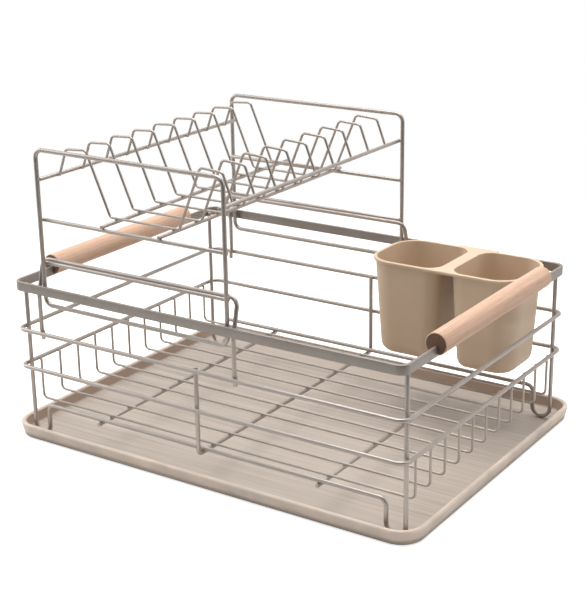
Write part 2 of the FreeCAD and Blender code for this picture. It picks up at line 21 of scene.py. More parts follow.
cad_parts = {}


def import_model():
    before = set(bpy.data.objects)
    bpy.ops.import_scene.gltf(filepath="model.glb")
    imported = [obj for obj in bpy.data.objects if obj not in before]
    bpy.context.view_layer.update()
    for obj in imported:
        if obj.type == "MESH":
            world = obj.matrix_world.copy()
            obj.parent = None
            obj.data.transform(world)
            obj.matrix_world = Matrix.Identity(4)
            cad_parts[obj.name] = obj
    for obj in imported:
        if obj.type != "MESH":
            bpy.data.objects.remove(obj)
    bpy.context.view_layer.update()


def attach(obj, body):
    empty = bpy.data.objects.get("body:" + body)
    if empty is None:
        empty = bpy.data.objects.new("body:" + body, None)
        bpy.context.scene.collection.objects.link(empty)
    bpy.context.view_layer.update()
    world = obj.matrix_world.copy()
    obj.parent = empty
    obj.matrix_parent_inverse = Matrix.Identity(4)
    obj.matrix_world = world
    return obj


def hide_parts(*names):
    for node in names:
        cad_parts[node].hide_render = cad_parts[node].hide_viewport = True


MM = 0.001
MERGE_DISTANCE = 2e-6
SHARP_ANGLE = math.radians(40)
Array = np.ndarray
Colour = tuple[int, int, int]
Triple = tuple[float, float, float]

WHITE: Colour = (255, 255, 255)

log = logging.getLogger("dish_rack")


class Body(Enum):
    """Moving bodies of the rack."""

    TRAY = "drip_tray"
    BASKET = "basket"
    CADDY = "cutlery_caddy"
    TIER = "upper_tier"


class Slot(Enum):
    """Finish slots of the rack's record."""

    TRAY = "tray_plastic"
    RIM = "rim_coating"
    WIRE = "wire_coating"
    WOOD = "handle_wood"
    PLASTIC = "caddy_plastic"


class Side(Enum):
    """The two ends of a direction, with its sign."""

    LOW = -1
    HIGH = 1


class Lies(Enum):
    """How a bent wire lies: the axis square to its plane."""

    FACING_X = (1.0, 0.0, 0.0)
    FACING_Y = (0.0, 1.0, 0.0)
    FLAT = (0.0, 0.0, 1.0)


# Surfaces


def unit(vectors: Array) -> Array:
    """Each vector divided by its own length."""
    return vectors / np.linalg.norm(vectors, axis=-1, keepdims=True)


def grid_faces(rows: int, columns: int, close_rows: bool = False) -> Array:
    """Quads between neighbours of a grid whose columns close into a ring.

    Args:
        rows: number of rings.
        columns: points in each ring.
        close_rows: whether the last ring joins the first one too.

    Returns:
        One row of four vertex numbers for each quad.
    """
    row = np.arange(rows if close_rows else rows - 1)[:, None]
    column = np.arange(columns)[None, :]
    after_row = (row + 1) % rows
    after_column = (column + 1) % columns
    corners = (
        row * columns + column,
        row * columns + after_column,
        after_row * columns + after_column,
        after_row * columns + column,
    )
    return np.stack([np.broadcast_to(c, (row.size, columns)) for c in corners], axis=-1).reshape(-1, 4)


def rounded_path(corners: Array, radii: Array, closed: bool, steps: int = 10) -> tuple[Array, Array]:
    """Points and directions along straight runs whose corners are tangent arcs.

    With back and ahead the unit vectors from a corner to its neighbours and h half the angle between them,
    the arc of radius r has its centre at corner + (back + ahead) / |back + ahead| * r / sin h. With spoke the
    unit vector from the centre to the arc's first point, its points are
    centre + r (cos t * spoke - sin t * back), with t growing evenly over the turn.

    Args:
        corners: K by 3 corner points.
        radii: K radii, of which an open path ignores the first and last.
        closed: whether the last corner joins the first.
        steps: divisions of each arc.

    Returns:
        N by 3 points and N by 3 unit directions.
    """
    count = len(corners)
    points: list[Array] = []
    directions: list[Array] = []
    if not closed:
        points.append(corners[:1])
        directions.append(unit(corners[1:2] - corners[:1]))
    for k in range(count) if closed else range(1, count - 1):
        back = unit(corners[k - 1] - corners[k])
        ahead = unit(corners[(k + 1) % count] - corners[k])
        half = math.acos(float(np.clip(back @ ahead, -1.0, 1.0))) / 2
        middle = unit(back + ahead)
        centre = corners[k] + middle * radii[k] / math.sin(half)
        first = corners[k] + back * radii[k] / math.tan(half)
        spoke = unit(first - centre)
        turn = np.linspace(0.0, math.pi - 2 * half, steps + 1)[:, None]
        points.append(centre + radii[k] * (np.cos(turn) * spoke - np.sin(turn) * back))
        directions.append(-np.sin(turn) * spoke - np.cos(turn) * back)
    if not closed:
        points.append(corners[-1:])
        directions.append(unit(corners[-1:] - corners[-2:-1]))
    return np.concatenate(points), np.concatenate(directions)


def circle_profile(radius: float, sides: int) -> Array:
    """Points (radius cos t, radius sin t) of a round section."""
    turn = np.linspace(0.0, 2 * math.pi, sides, endpoint=False)
    return radius * np.stack([np.cos(turn), np.sin(turn)], axis=1)


def rounded_rectangle(half_x: float, half_y: float, radius: float, steps: int = 8, sides: int = 1) -> Array:
    """Points round a rectangle with rounded corners, about the middle.

    A corner's points are its own centre, (half_x - radius, half_y - radius) with that corner's signs, plus
    radius times the unit vector at angles that grow evenly over its quarter. The straight sides between two
    corners are divided evenly.

    Args:
        half_x: half the width.
        half_y: half the depth.
        radius: radius of the corners.
        steps: divisions of each corner.
        sides: divisions of each straight side.

    Returns:
        N by 2 points, anticlockwise from the right side's lower end.
    """
    quarter = np.linspace(0.0, math.pi / 2, steps + 1)
    start = np.array([0.0, 1.0, 2.0, 3.0])[:, None] * math.pi / 2
    turn = start + quarter[None, :]
    signs = np.array([[1, 1], [-1, 1], [-1, -1], [1, -1]])
    centres = signs * np.array([half_x - radius, half_y - radius])
    arcs = centres[:, None, :] + radius * np.stack([np.cos(turn), np.sin(turn)], axis=-1)
    if sides == 1:
        return arcs.reshape(-1, 2)
    share = np.linspace(0.0, 1.0, sides + 1)[1:-1][None, :, None]
    ends = arcs[:, -1:, :]
    runs = ends + share * (np.roll(arcs[:, :1, :], -1, axis=0) - ends)
    return np.concatenate([arcs, runs], axis=1).reshape(-1, 2)


def carry(
    path: Array, directions: Array, square_to: Array, profile: Array, scale: Array | None = None
) -> Array:
    """Carries a profile along a path.

    At each path point the side vector is square_to crossed with the direction, the up vector is the direction
    crossed with the side, and the vertex is point + scale (x side + y up) for each (x, y) of the profile.

    Args:
        path: N by 3 points.
        directions: N by 3 unit directions.
        square_to: a vector that is never along the path.
        profile: M by 2 points of the section.
        scale: N factors on the section, 1 where left out.

    Returns:
        N by M by 3 vertices.
    """
    side = unit(np.cross(np.broadcast_to(square_to, directions.shape), directions))
    up = np.cross(directions, side)
    size = np.ones(len(path)) if scale is None else scale
    section = size[:, None, None] * profile[None, :, :]
    return path[:, None, :] + section[..., :1] * side[:, None, :] + section[..., 1:] * up[:, None, :]


@dataclass
class Surface:
    """Vertices in millimetres and faces of one mesh, some of them with a finish of their own."""

    points: Array
    faces: list[list[int]]
    finish_of_face: list[int] = field(default_factory=list)

    def joined(self, other: "Surface") -> "Surface":
        """This surface and another one as one mesh.

        Args:
            other: the surface to add.

        Returns:
            One surface that holds both.
        """
        shift = len(self.points)
        own = self.finish_of_face or [0] * len(self.faces)
        added = other.finish_of_face or [0] * len(other.faces)
        moved = [[v + shift for v in face] for face in other.faces]
        return Surface(np.concatenate([self.points, other.points]), self.faces + moved, own + added)

    def moved(self, x: float = 0.0, y: float = 0.0, z: float = 0.0) -> "Surface":
        """A copy at another place."""
        return Surface(self.points + np.array([x, y, z]), self.faces, self.finish_of_face)

    def mirrored_x(self) -> "Surface":
        """A copy with X turned round and its faces turned back outward."""
        turned = [face[::-1] for face in self.faces]
        return Surface(self.points * np.array([-1.0, 1.0, 1.0]), turned, self.finish_of_face)


def closed_stack(rings: Array, end_finish: int = 0, pole: bool = False) -> Surface:
    """A stack of rings as a closed skin, its first and last ring covered by a face or by a fan round a pole.

    Args:
        rings: N by M by 3 vertices.
        end_finish: finish of the two end covers.
        pole: whether the covers are fans round the ring's middle point.

    Returns:
        The closed surface.
    """
    rows, columns = rings.shape[:2]
    points = rings.reshape(-1, 3)
    faces = grid_faces(rows, columns).tolist()
    around = len(faces)
    last = (rows - 1) * columns
    ring = np.arange(columns)
    if pole:
        points = np.concatenate([points, rings[0].mean(0, keepdims=True), rings[-1].mean(0, keepdims=True)])
        low, high = rows * columns, rows * columns + 1
        after = (ring + 1) % columns
        faces += np.stack([after, ring, np.full(columns, low)], axis=1).tolist()
        faces += np.stack([last + ring, last + after, np.full(columns, high)], axis=1).tolist()
    else:
        faces += [ring[::-1].tolist(), (last + ring).tolist()]
    return Surface(points, faces, [0] * around + [end_finish] * (len(faces) - around))


def round_wire(
    corners: list[Triple],
    radii: list[float],
    diameter: float,
    lies: Lies,
    closed: bool = False,
    sides: int = 24,
) -> Surface:
    """A round wire bent along a path, its cut ends softened.

    Near an open end the section's scale is 1 - e (1 - sin t) and its distance from the end e r (1 - cos t),
    with e the softened share of the radius r and t from 0 to a quarter turn.

    Args:
        corners: corner points of the wire's middle line.
        radii: bend radius at each corner.
        diameter: wire diameter.
        lies: the axis square to the wire's plane.
        closed: whether the wire is an endless ring.
        sides: points round the wire.

    Returns:
        The closed skin of the wire.
    """
    path, directions = rounded_path(np.array(corners, float), np.array(radii, float), closed)
    square_to = np.array(lies.value)
    profile = circle_profile(diameter / 2, sides)
    if closed:
        rings = carry(path, directions, square_to, profile)
        faces = grid_faces(len(path), sides, close_rows=True).tolist()
        return Surface(rings.reshape(-1, 3), faces)
    softened = 0.45
    steps = 5
    turn = np.linspace(0.0, math.pi / 2, steps)
    inward = softened * diameter / 2 * (1 - np.cos(turn))
    narrow = 1 - softened * (1 - np.sin(turn))
    start = path[0] + inward[:, None] * directions[0]
    stop = path[-1] - inward[::-1, None] * directions[-1]
    path = np.concatenate([start, path[1:-1], stop])
    directions = np.concatenate(
        [np.repeat(directions[:1], steps, 0), directions[1:-1], np.repeat(directions[-1:], steps, 0)]
    )
    scale = np.concatenate([narrow, np.ones(len(path) - 2 * steps), narrow[::-1]])
    return closed_stack(carry(path, directions, square_to, profile, scale), pole=True)


def weld_beads(spots: list[Triple], radius: float = 1.4) -> Surface:
    """Small round beads of weld where wires meet.

    With t from pole to pole and s round the bead, its points are the spot plus radius times
    (sin t cos s, sin t sin s, cos t). The same few faces serve every bead, its points moved to each spot.

    Args:
        spots: contact points of the wires.
        radius: radius of a bead.

    Returns:
        All beads as one surface.
    """
    rows, columns = 5, 8
    t = np.linspace(0.0, math.pi, rows + 2)[1:-1, None]
    s = np.linspace(0.0, 2 * math.pi, columns, endpoint=False)[None, :]
    shape = np.stack([np.sin(t) * np.cos(s), np.sin(t) * np.sin(s), np.cos(t) + 0 * s], axis=-1)
    bead = closed_stack(shape, pole=True)
    points = np.array(spots)[:, None, :] + radius * bead.points[None, :, :]
    size = len(bead.points)
    faces = [[v + k * size for v in face] for k in range(len(spots)) for face in bead.faces]
    return Surface(points.reshape(-1, 3), faces)


# Finishes


def tint(colour: Colour) -> tuple[float, float, float, float]:
    """A screen colour of 0 to 255 as the linear colour that a shader takes.

    Args:
        colour: red, green and blue from 0 to 255.

    Returns:
        Linear red, green and blue, and a full alpha.
    """
    part = np.array(colour) / 255
    linear = np.where(part <= 0.04045, part / 12.92, ((part + 0.055) / 1.055) ** 2.4)
    return (float(linear[0]), float(linear[1]), float(linear[2]), 1.0)


class Graph:
    """One material's nodes, made and joined in few words."""

    def __init__(self, name: str) -> None:
        """Starts a material that holds only its shader and its output.

        Args:
            name: name of the material.
        """
        self.material = bpy.data.materials.new(name)
        self.material.use_nodes = True
        self.tree = self.material.node_tree
        self.shader = self.tree.nodes["Principled BSDF"]
        self.place = self.node("ShaderNodeTexCoord").outputs["Object"]

    def node(self, kind: str, **sockets: object) -> bpy.types.Node:
        """Adds a node and sets or links its inputs by name, with _ for a space.

        Args:
            kind: the node's type.
            **sockets: values or outputs for its inputs.

        Returns:
            The new node.
        """
        made = self.tree.nodes.new(kind)
        for name, value in sockets.items():
            self.put(made.inputs[name.replace("_", " ")], value)
        return made

    def put(self, socket: bpy.types.NodeSocket, value: object) -> None:
        """Links an output to an input, or writes a plain value on it.

        Args:
            socket: the input.
            value: an output or a plain value.
        """
        if isinstance(value, bpy.types.NodeSocket):
            self.tree.links.new(value, socket)
        else:
            socket.default_value = value

    def stretched(self, scale: Triple, turn: Triple = (0.0, 0.0, 0.0)) -> object:
        """Object coordinates turned and stretched."""
        return self.node("ShaderNodeMapping", Vector=self.place, Scale=scale, Rotation=turn).outputs["Vector"]

    def noise(
        self, where: object, scale: float, detail: float = 3.0, roughness: float = 0.5, bend: float = 0.0
    ) -> object:
        """Soft noise from 0 to 1.

        Args:
            where: coordinates.
            scale: how fine it is.
            detail: number of finer layers.
            roughness: strength of the finer layers.
            bend: how much it is distorted.

        Returns:
            The noise.
        """
        made = self.node("ShaderNodeTexNoise", Vector=where, Scale=scale, Detail=detail)
        self.put(made.inputs["Roughness"], roughness)
        self.put(made.inputs["Distortion"], bend)
        return made.outputs[0]

    def ramp(self, value: object, stops: list[tuple[float, Colour]]) -> object:
        """Colours spread over a value.

        Args:
            value: from 0 to 1.
            stops: positions and their colours.

        Returns:
            The colour at the value.
        """
        made = self.node("ShaderNodeValToRGB", Fac=value)
        ramp = made.color_ramp
        while len(ramp.elements) < len(stops):
            ramp.elements.new(0.5)
        for element, (position, colour) in zip(ramp.elements, stops):
            element.position = position
            element.color = tint(colour)
        return made.outputs["Color"]

    def between(
        self, value: object, low: float, high: float, from_low: float = 0.3, from_high: float = 0.7
    ) -> object:
        """A value carried from one range into another one.

        Args:
            value: the value to carry.
            low: result at from_low.
            high: result at from_high.
            from_low: lower end of the first range.
            from_high: upper end of the first range.

        Returns:
            The carried value.
        """
        made = self.node("ShaderNodeMapRange", Value=value, From_Min=from_low, From_Max=from_high)
        self.put(made.inputs["To Min"], low)
        self.put(made.inputs["To Max"], high)
        return made.outputs["Result"]

    def blend(self, share: object, first: object, second: object, kind: str = "MIX") -> object:
        """Two colours mixed by a share.

        Of the Mix node's sockets, inputs 0, 6 and 7 are the share and the two colours, and output 2 is the
        mixed colour.

        Args:
            share: share of the second colour.
            first: first colour.
            second: second colour.
            kind: how the two are mixed.

        Returns:
            The mixed colour.
        """
        made = self.tree.nodes.new("ShaderNodeMix")
        made.data_type = "RGBA"
        made.blend_type = kind
        for index, value in ((0, share), (6, first), (7, second)):
            self.put(made.inputs[index], value)
        return made.outputs[2]

    def bump(
        self, height: object, depth: float, strength: float = 1.0, under: object | None = None
    ) -> object:
        """A normal that follows a height, its depth in metres.

        Args:
            height: height from 0 to 1.
            depth: what a height of 1 means, in metres.
            strength: share of the effect.
            under: normal of the relief below.

        Returns:
            The bent normal.
        """
        made = self.node("ShaderNodeBump", Height=height, Distance=depth, Strength=strength)
        if under is not None:
            self.put(made.inputs["Normal"], under)
        return made.outputs["Normal"]

    def finish(self, **sockets: object) -> bpy.types.Material:
        """Writes the shader's own inputs and returns the material.

        Args:
            **sockets: values or outputs for the shader's inputs.

        Returns:
            The finished material.
        """
        for name, value in sockets.items():
            self.put(self.shader.inputs[name.replace("_", " ")], value)
        return self.material


@dataclass(frozen=True)
class PowderCoat:
    """Satin powder coat on steel: faint clouds in the colour and the fine pebble of the cured powder."""

    name: str
    dark: Colour
    light: Colour
    metallic: float
    roughness: tuple[float, float]
    cloud_scale: float = 38.0
    gloss_scale: float = 210.0
    pebble_scale: float = 1500.0
    pebble_depth: float = 0.000008
    wave_scale: float = 420.0
    wave_depth: float = 0.0000128

    def material(self) -> bpy.types.Material:
        """Clouds of two near colours, roughness that follows finer clouds, and pebble on longer waves.

        Returns:
            The new material.
        """
        graph = Graph(self.name)
        clouds = graph.noise(graph.place, self.cloud_scale, detail=4.0)
        colour = graph.ramp(clouds, [(0.32, self.dark), (0.68, self.light)])
        rough = graph.between(graph.noise(graph.place, self.gloss_scale), *self.roughness)
        pebble = graph.bump(graph.noise(graph.place, self.pebble_scale, detail=2.0), self.pebble_depth)
        waves = graph.noise(graph.place, self.wave_scale, detail=2.0)
        skin = graph.bump(waves, self.wave_depth, under=pebble)
        return graph.finish(Base_Color=colour, Metallic=self.metallic, Roughness=rough, Normal=skin)


@dataclass(frozen=True)
class StreakedTray:
    """Moulded tray: fine streaks along the tray's length on its floor, plain and smooth on wall and lip."""

    name: str
    dark: Colour
    light: Colour
    plain: Colour
    floor_level: float = 0.0032
    wall_level: float = 0.0055
    wide_streak: Triple = (1.8, 75.0, 75.0)
    thin_streak: Triple = (3.0, 330.0, 330.0)
    streak_scale: float = 3.0
    cloud_scale: float = 30.0
    thin_shade: Colour = (222, 218, 215)
    thin_share: float = 0.6
    roughness: tuple[float, float] = (0.46, 0.36)
    groove_depth: float = 0.00005

    def material(self) -> bpy.types.Material:
        """Long streaks of two widths that also groove the floor a little, and faint clouds higher up.

        Returns:
            The new material.
        """
        graph = Graph(self.name)
        along, close = graph.stretched(self.wide_streak), graph.stretched(self.thin_streak)
        wide = graph.noise(along, self.streak_scale, detail=5.0, roughness=0.6, bend=0.2)
        thin = graph.noise(close, self.streak_scale, detail=4.0, roughness=0.6)
        broad = graph.ramp(wide, [(0.3, self.dark), (0.62, self.light)])
        fine = graph.ramp(thin, [(0.34, self.thin_shade), (0.6, WHITE)])
        streaks = graph.blend(self.thin_share, broad, fine, "MULTIPLY")
        height = graph.node("ShaderNodeSeparateXYZ", Vector=graph.place).outputs["Z"]
        on_wall = graph.between(height, 0.0, 1.0, self.floor_level, self.wall_level)
        faint = graph.noise(graph.place, self.cloud_scale)
        clouds = graph.ramp(faint, [(0.3, self.plain), (0.7, self.light)])
        colour = graph.blend(on_wall, streaks, clouds)
        rough = graph.between(thin, *self.roughness)
        depth = graph.between(height, 1.0, 0.0, self.floor_level, self.wall_level)
        groove = graph.node("ShaderNodeMath", Value=depth)
        groove.operation = "MULTIPLY"
        graph.put(groove.inputs[1], thin)
        grooves = graph.bump(groove.outputs[0], self.groove_depth, strength=0.6)
        return graph.finish(Base_Color=colour, Roughness=rough, Normal=grooves)


@dataclass(frozen=True)
class PaleWood:
    """Light close-grained wood, its grain along Y, with short fine pores."""

    name: str
    dark: Colour
    middle: Colour
    light: Colour
    grain_stretch: Triple = (60.0, 1.8, 60.0)
    grain_turn: Triple = (0.0, 0.0, 0.03)
    grain_scale: float = 4.0
    pore_stretch: Triple = (320.0, 12.0, 320.0)
    pore_scale: float = 6.0
    pore_shade: Colour = (204, 176, 156)
    pore_share: float = 0.5
    roughness: tuple[float, float] = (0.62, 0.5)
    pore_depth: float = 0.00005

    def material(self) -> bpy.types.Material:
        """Stretched bands for the grain, thinner dashes for the pores.

        Returns:
            The new material.
        """
        graph = Graph(self.name)
        along = graph.stretched(self.grain_stretch, self.grain_turn)
        bands = graph.noise(along, self.grain_scale, detail=5.0, roughness=0.58, bend=0.5)
        grain = graph.ramp(bands, [(0.28, self.dark), (0.5, self.middle), (0.72, self.light)])
        dashes = graph.noise(graph.stretched(self.pore_stretch), self.pore_scale, roughness=0.6)
        pores = graph.ramp(dashes, [(0.3, self.pore_shade), (0.42, WHITE)])
        colour = graph.blend(self.pore_share, grain, pores, "MULTIPLY")
        rough = graph.between(dashes, *self.roughness)
        relief = graph.bump(dashes, self.pore_depth, strength=0.7)
        return graph.finish(Base_Color=colour, Roughness=rough, Normal=relief)


@dataclass(frozen=True)
class EndGrain:
    """Cut end of the wood: curved year rings and dots of pores, darker than the long grain, partly the end
    grain's own tone and partly painted shade.
    """

    name: str
    dark: Colour
    light: Colour
    heart: Triple = (0.018, 0.0, -0.13)
    ring_scale: float = 260.0
    ring_waver: float = 2.2
    ring_detail: float = 3.0
    dot_scale: float = 2600.0
    dot_shade: Colour = (170, 150, 140)
    dot_share: float = 0.8
    roughness: float = 0.72
    ring_depth: float = 0.00006

    def material(self) -> bpy.types.Material:
        """Rings round an axis beside the dowel, mottled by fine noise.

        Returns:
            The new material.
        """
        graph = Graph(self.name)
        far = graph.node("ShaderNodeMapping", Vector=graph.place, Location=self.heart, Scale=(1.0, 0.0, 1.0))
        rings = graph.node("ShaderNodeTexWave", Vector=far.outputs["Vector"], Scale=self.ring_scale)
        graph.put(rings.inputs["Distortion"], self.ring_waver)
        graph.put(rings.inputs["Detail"], self.ring_detail)
        rings.wave_type = "RINGS"
        rings.rings_direction = "SPHERICAL"
        years = graph.ramp(rings.outputs[0], [(0.1, self.dark), (0.9, self.light)])
        specks = graph.noise(graph.place, self.dot_scale, detail=2.0)
        dots = graph.ramp(specks, [(0.36, self.dot_shade), (0.5, WHITE)])
        colour = graph.blend(self.dot_share, years, dots, "MULTIPLY")
        relief = graph.bump(rings.outputs[0], self.ring_depth)
        return graph.finish(Base_Color=colour, Roughness=self.roughness, Normal=relief)


@dataclass(frozen=True)
class MattePlastic:
    """Moulded matte plastic with a fine spark-eroded grain."""

    name: str
    dark: Colour
    light: Colour
    flow_scale: float = 16.0
    grain_scale: float = 1900.0
    grain_depth: float = 0.00003
    roughness: tuple[float, float] = (0.44, 0.54)
    shine: float = 0.6

    def material(self) -> bpy.types.Material:
        """Very faint flow clouds under an even fine grain.

        Returns:
            The new material.
        """
        graph = Graph(self.name)
        flow = graph.noise(graph.place, self.flow_scale, bend=0.8)
        colour = graph.ramp(flow, [(0.3, self.dark), (0.7, self.light)])
        grain = graph.noise(graph.place, self.grain_scale, detail=2.0)
        rough = graph.between(grain, *self.roughness)
        relief = graph.bump(grain, self.grain_depth)
        return graph.finish(Base_Color=colour, Roughness=rough, Specular_IOR_Level=self.shine, Normal=relief)


@dataclass(frozen=True)
class Finishes:
    """All materials of the rack, made once."""

    tray: bpy.types.Material
    tray_wall: bpy.types.Material
    rim: bpy.types.Material
    wire: bpy.types.Material
    thin_wire: bpy.types.Material
    wood: bpy.types.Material
    end_grain: bpy.types.Material
    plastic: bpy.types.Material

    @classmethod
    def made(cls) -> "Finishes":
        """Makes the materials.

        Returns:
            All materials of the rack.
        """
        tray = StreakedTray("tray_streaks", (172, 160, 150), (191, 179, 168), (220, 202, 187))
        # The inner wall's own copy of the tray finish is darker and warmer: painted shade.
        tray_wall = StreakedTray("tray_inner_wall_painted_shade", (160, 138, 121), (172, 150, 134), (164, 142, 125))
        satin = (0.33, 0.39)
        rim = PowderCoat("rim_coat", (149, 141, 134), (157, 149, 142), metallic=0.5, roughness=(0.36, 0.42))
        wire = PowderCoat("wire_coat", (172, 163, 156), (182, 173, 166), metallic=0.75, roughness=satin)
        thin_wire = PowderCoat(
            "thin_wire_coat", (173, 164, 156), (183, 174, 166), metallic=0.7, roughness=satin
        )
        wood = PaleWood("pale_wood", (192, 154, 129), (203, 167, 142), (214, 181, 158))
        # The end grain's dark colours are partly its own tone and partly painted shade.
        end_grain = EndGrain("wood_end_grain", (104, 74, 60), (132, 98, 78))
        plastic = MattePlastic("caddy_shell", (201, 177, 151), (207, 183, 157))
        return cls(
            tray=tray.material(),
            tray_wall=tray_wall.material(),
            rim=rim.material(),
            wire=wire.material(),
            thin_wire=thin_wire.material(),
            wood=wood.material(),
            end_grain=end_grain.material(),
            plastic=plastic.material(),
        )


# Pieces


def make_piece(
    name: str, surface: Surface, materials: list[bpy.types.Material], body: Body, slot: Slot, nodes: list[str]
) -> bpy.types.Object:
    """Makes a closed surface into a piece that stands for frame nodes.

    Doubled seam points are merged and faces that enclose a negative volume are turned outward.

    Args:
        name: name of the piece.
        surface: its skin in millimetres.
        materials: its finishes, in the order of the surface's finish numbers.
        body: the body it moves with.
        slot: the record's slot for its finish; not used.
        nodes: the nodes it stands for.

    Returns:
        The new object.
    """
    mesh = bpy.data.meshes.new(name)
    mesh.from_pydata((surface.points * MM).tolist(), [], surface.faces)
    if surface.finish_of_face:
        mesh.polygons.foreach_set("material_index", surface.finish_of_face)
    shell = bmesh.new()
    shell.from_mesh(mesh)
    bmesh.ops.remove_doubles(shell, verts=shell.verts[:], dist=MERGE_DISTANCE)
    loose = [v for v in shell.verts if not v.link_faces]
    bmesh.ops.delete(shell, geom=loose, context="VERTS")
    if shell.calc_volume(signed=True) < 0:
        bmesh.ops.reverse_faces(shell, faces=shell.faces[:])
    shell.to_mesh(mesh)
    shell.free()
    mesh.polygons.foreach_set("use_smooth", [True] * len(mesh.polygons))
    mesh.set_sharp_from_angle(angle=SHARP_ANGLE)
    for material in materials:
        mesh.materials.append(material)
    piece = bpy.data.objects.new(name, mesh)
    bpy.context.scene.collection.objects.link(piece)
    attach(piece, body.value)
    if nodes:
        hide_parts(*nodes)
    log.info("%s: %d faces on %s", name, len(mesh.polygons), body.value)
    return piece


@dataclass
class DripTray:
    """Shallow tray with a sloped wall and a round lip."""

    length: float = 446.0
    depth: float = 334.0
    height: float = 14.0
    floor: float = 2.5
    lip: float = 5.0
    corner: float = 25.0
    slope: float = 14.0
    edge_round: float = 2.2
    cove: float = 2.0
    foot_turn: tuple[tuple[float, float], ...] = ((1.2, 0.0), (0.35, 0.3), (-0.2, 1.1))
    smallest_corner: float = 2.0
    corner_steps: int = 14
    lip_points: int = 7
    cove_points: int = 6

    def sections(self) -> list[tuple[float, float]]:
        """How far each ring lies inside the outline and how high it lies, from underside over lip to floor.

        Each turn is an arc centre - radius cos t, centre + radius sin t. The lip's two arcs touch the leaning
        wall and the top, and the cove's arc touches the inner wall and the floor.

        Returns:
            Inset and height of each ring.
        """
        lean = math.radians(self.slope)
        foot = self.height * math.tan(lean)
        r = self.edge_round
        ledge = self.height - r
        outer = r * (1 + math.sin(lean)) / math.cos(lean)
        inner = self.lip - r * (1 - math.sin(lean)) / math.cos(lean)
        corner = self.floor + self.cove
        cove = self.lip + (self.height - corner) * math.tan(lean) + self.cove / math.cos(lean)
        turns = (
            (outer, ledge, r, np.linspace(-lean, math.pi / 2, self.lip_points)),
            (inner, ledge, r, np.linspace(math.pi / 2, math.pi - lean, self.lip_points)),
            (cove, corner, self.cove, np.linspace(-lean, -math.pi / 2, self.cove_points)),
        )
        spots = [(foot + inset, height) for inset, height in self.foot_turn]
        for inset, height, radius, turn in turns:
            spots += zip((inset - radius * np.cos(turn)).tolist(), (height + radius * np.sin(turn)).tolist())
        return spots

    def surface(self) -> Surface:
        """Rings of the rounded outline, each drawn in by its own inset, from the underside to the floor.

        The row of faces between the lip's inner turn and the cove has the inner wall's darker, warmer finish,
        which is painted shade.

        Returns:
            The tray's closed skin.
        """
        rings = []
        for inset, height in self.sections():
            corner = max(self.corner - inset, self.smallest_corner)
            half_x, half_y = self.length / 2 - inset, self.depth / 2 - inset
            outline = rounded_rectangle(half_x, half_y, corner, self.corner_steps)
            rings.append(np.column_stack([outline, np.full(len(outline), height)]))
        skin = closed_stack(np.array(rings))
        columns = len(rings[0])
        first = (len(self.foot_turn) + 2 * self.lip_points - 1) * columns
        # These faces take the second finish, the inner wall's painted shade.
        for face in range(first, first + columns):
            skin.finish_of_face[face] = 1
        return skin

    def build(self, finishes: Finishes) -> None:
        """Makes the tray."""
        # The second finish is the inner wall's painted shade.
        materials = [finishes.tray, finishes.tray_wall]
        make_piece("tray_shell", self.surface(), materials, Body.TRAY, Slot.TRAY, ["drip_tray"])


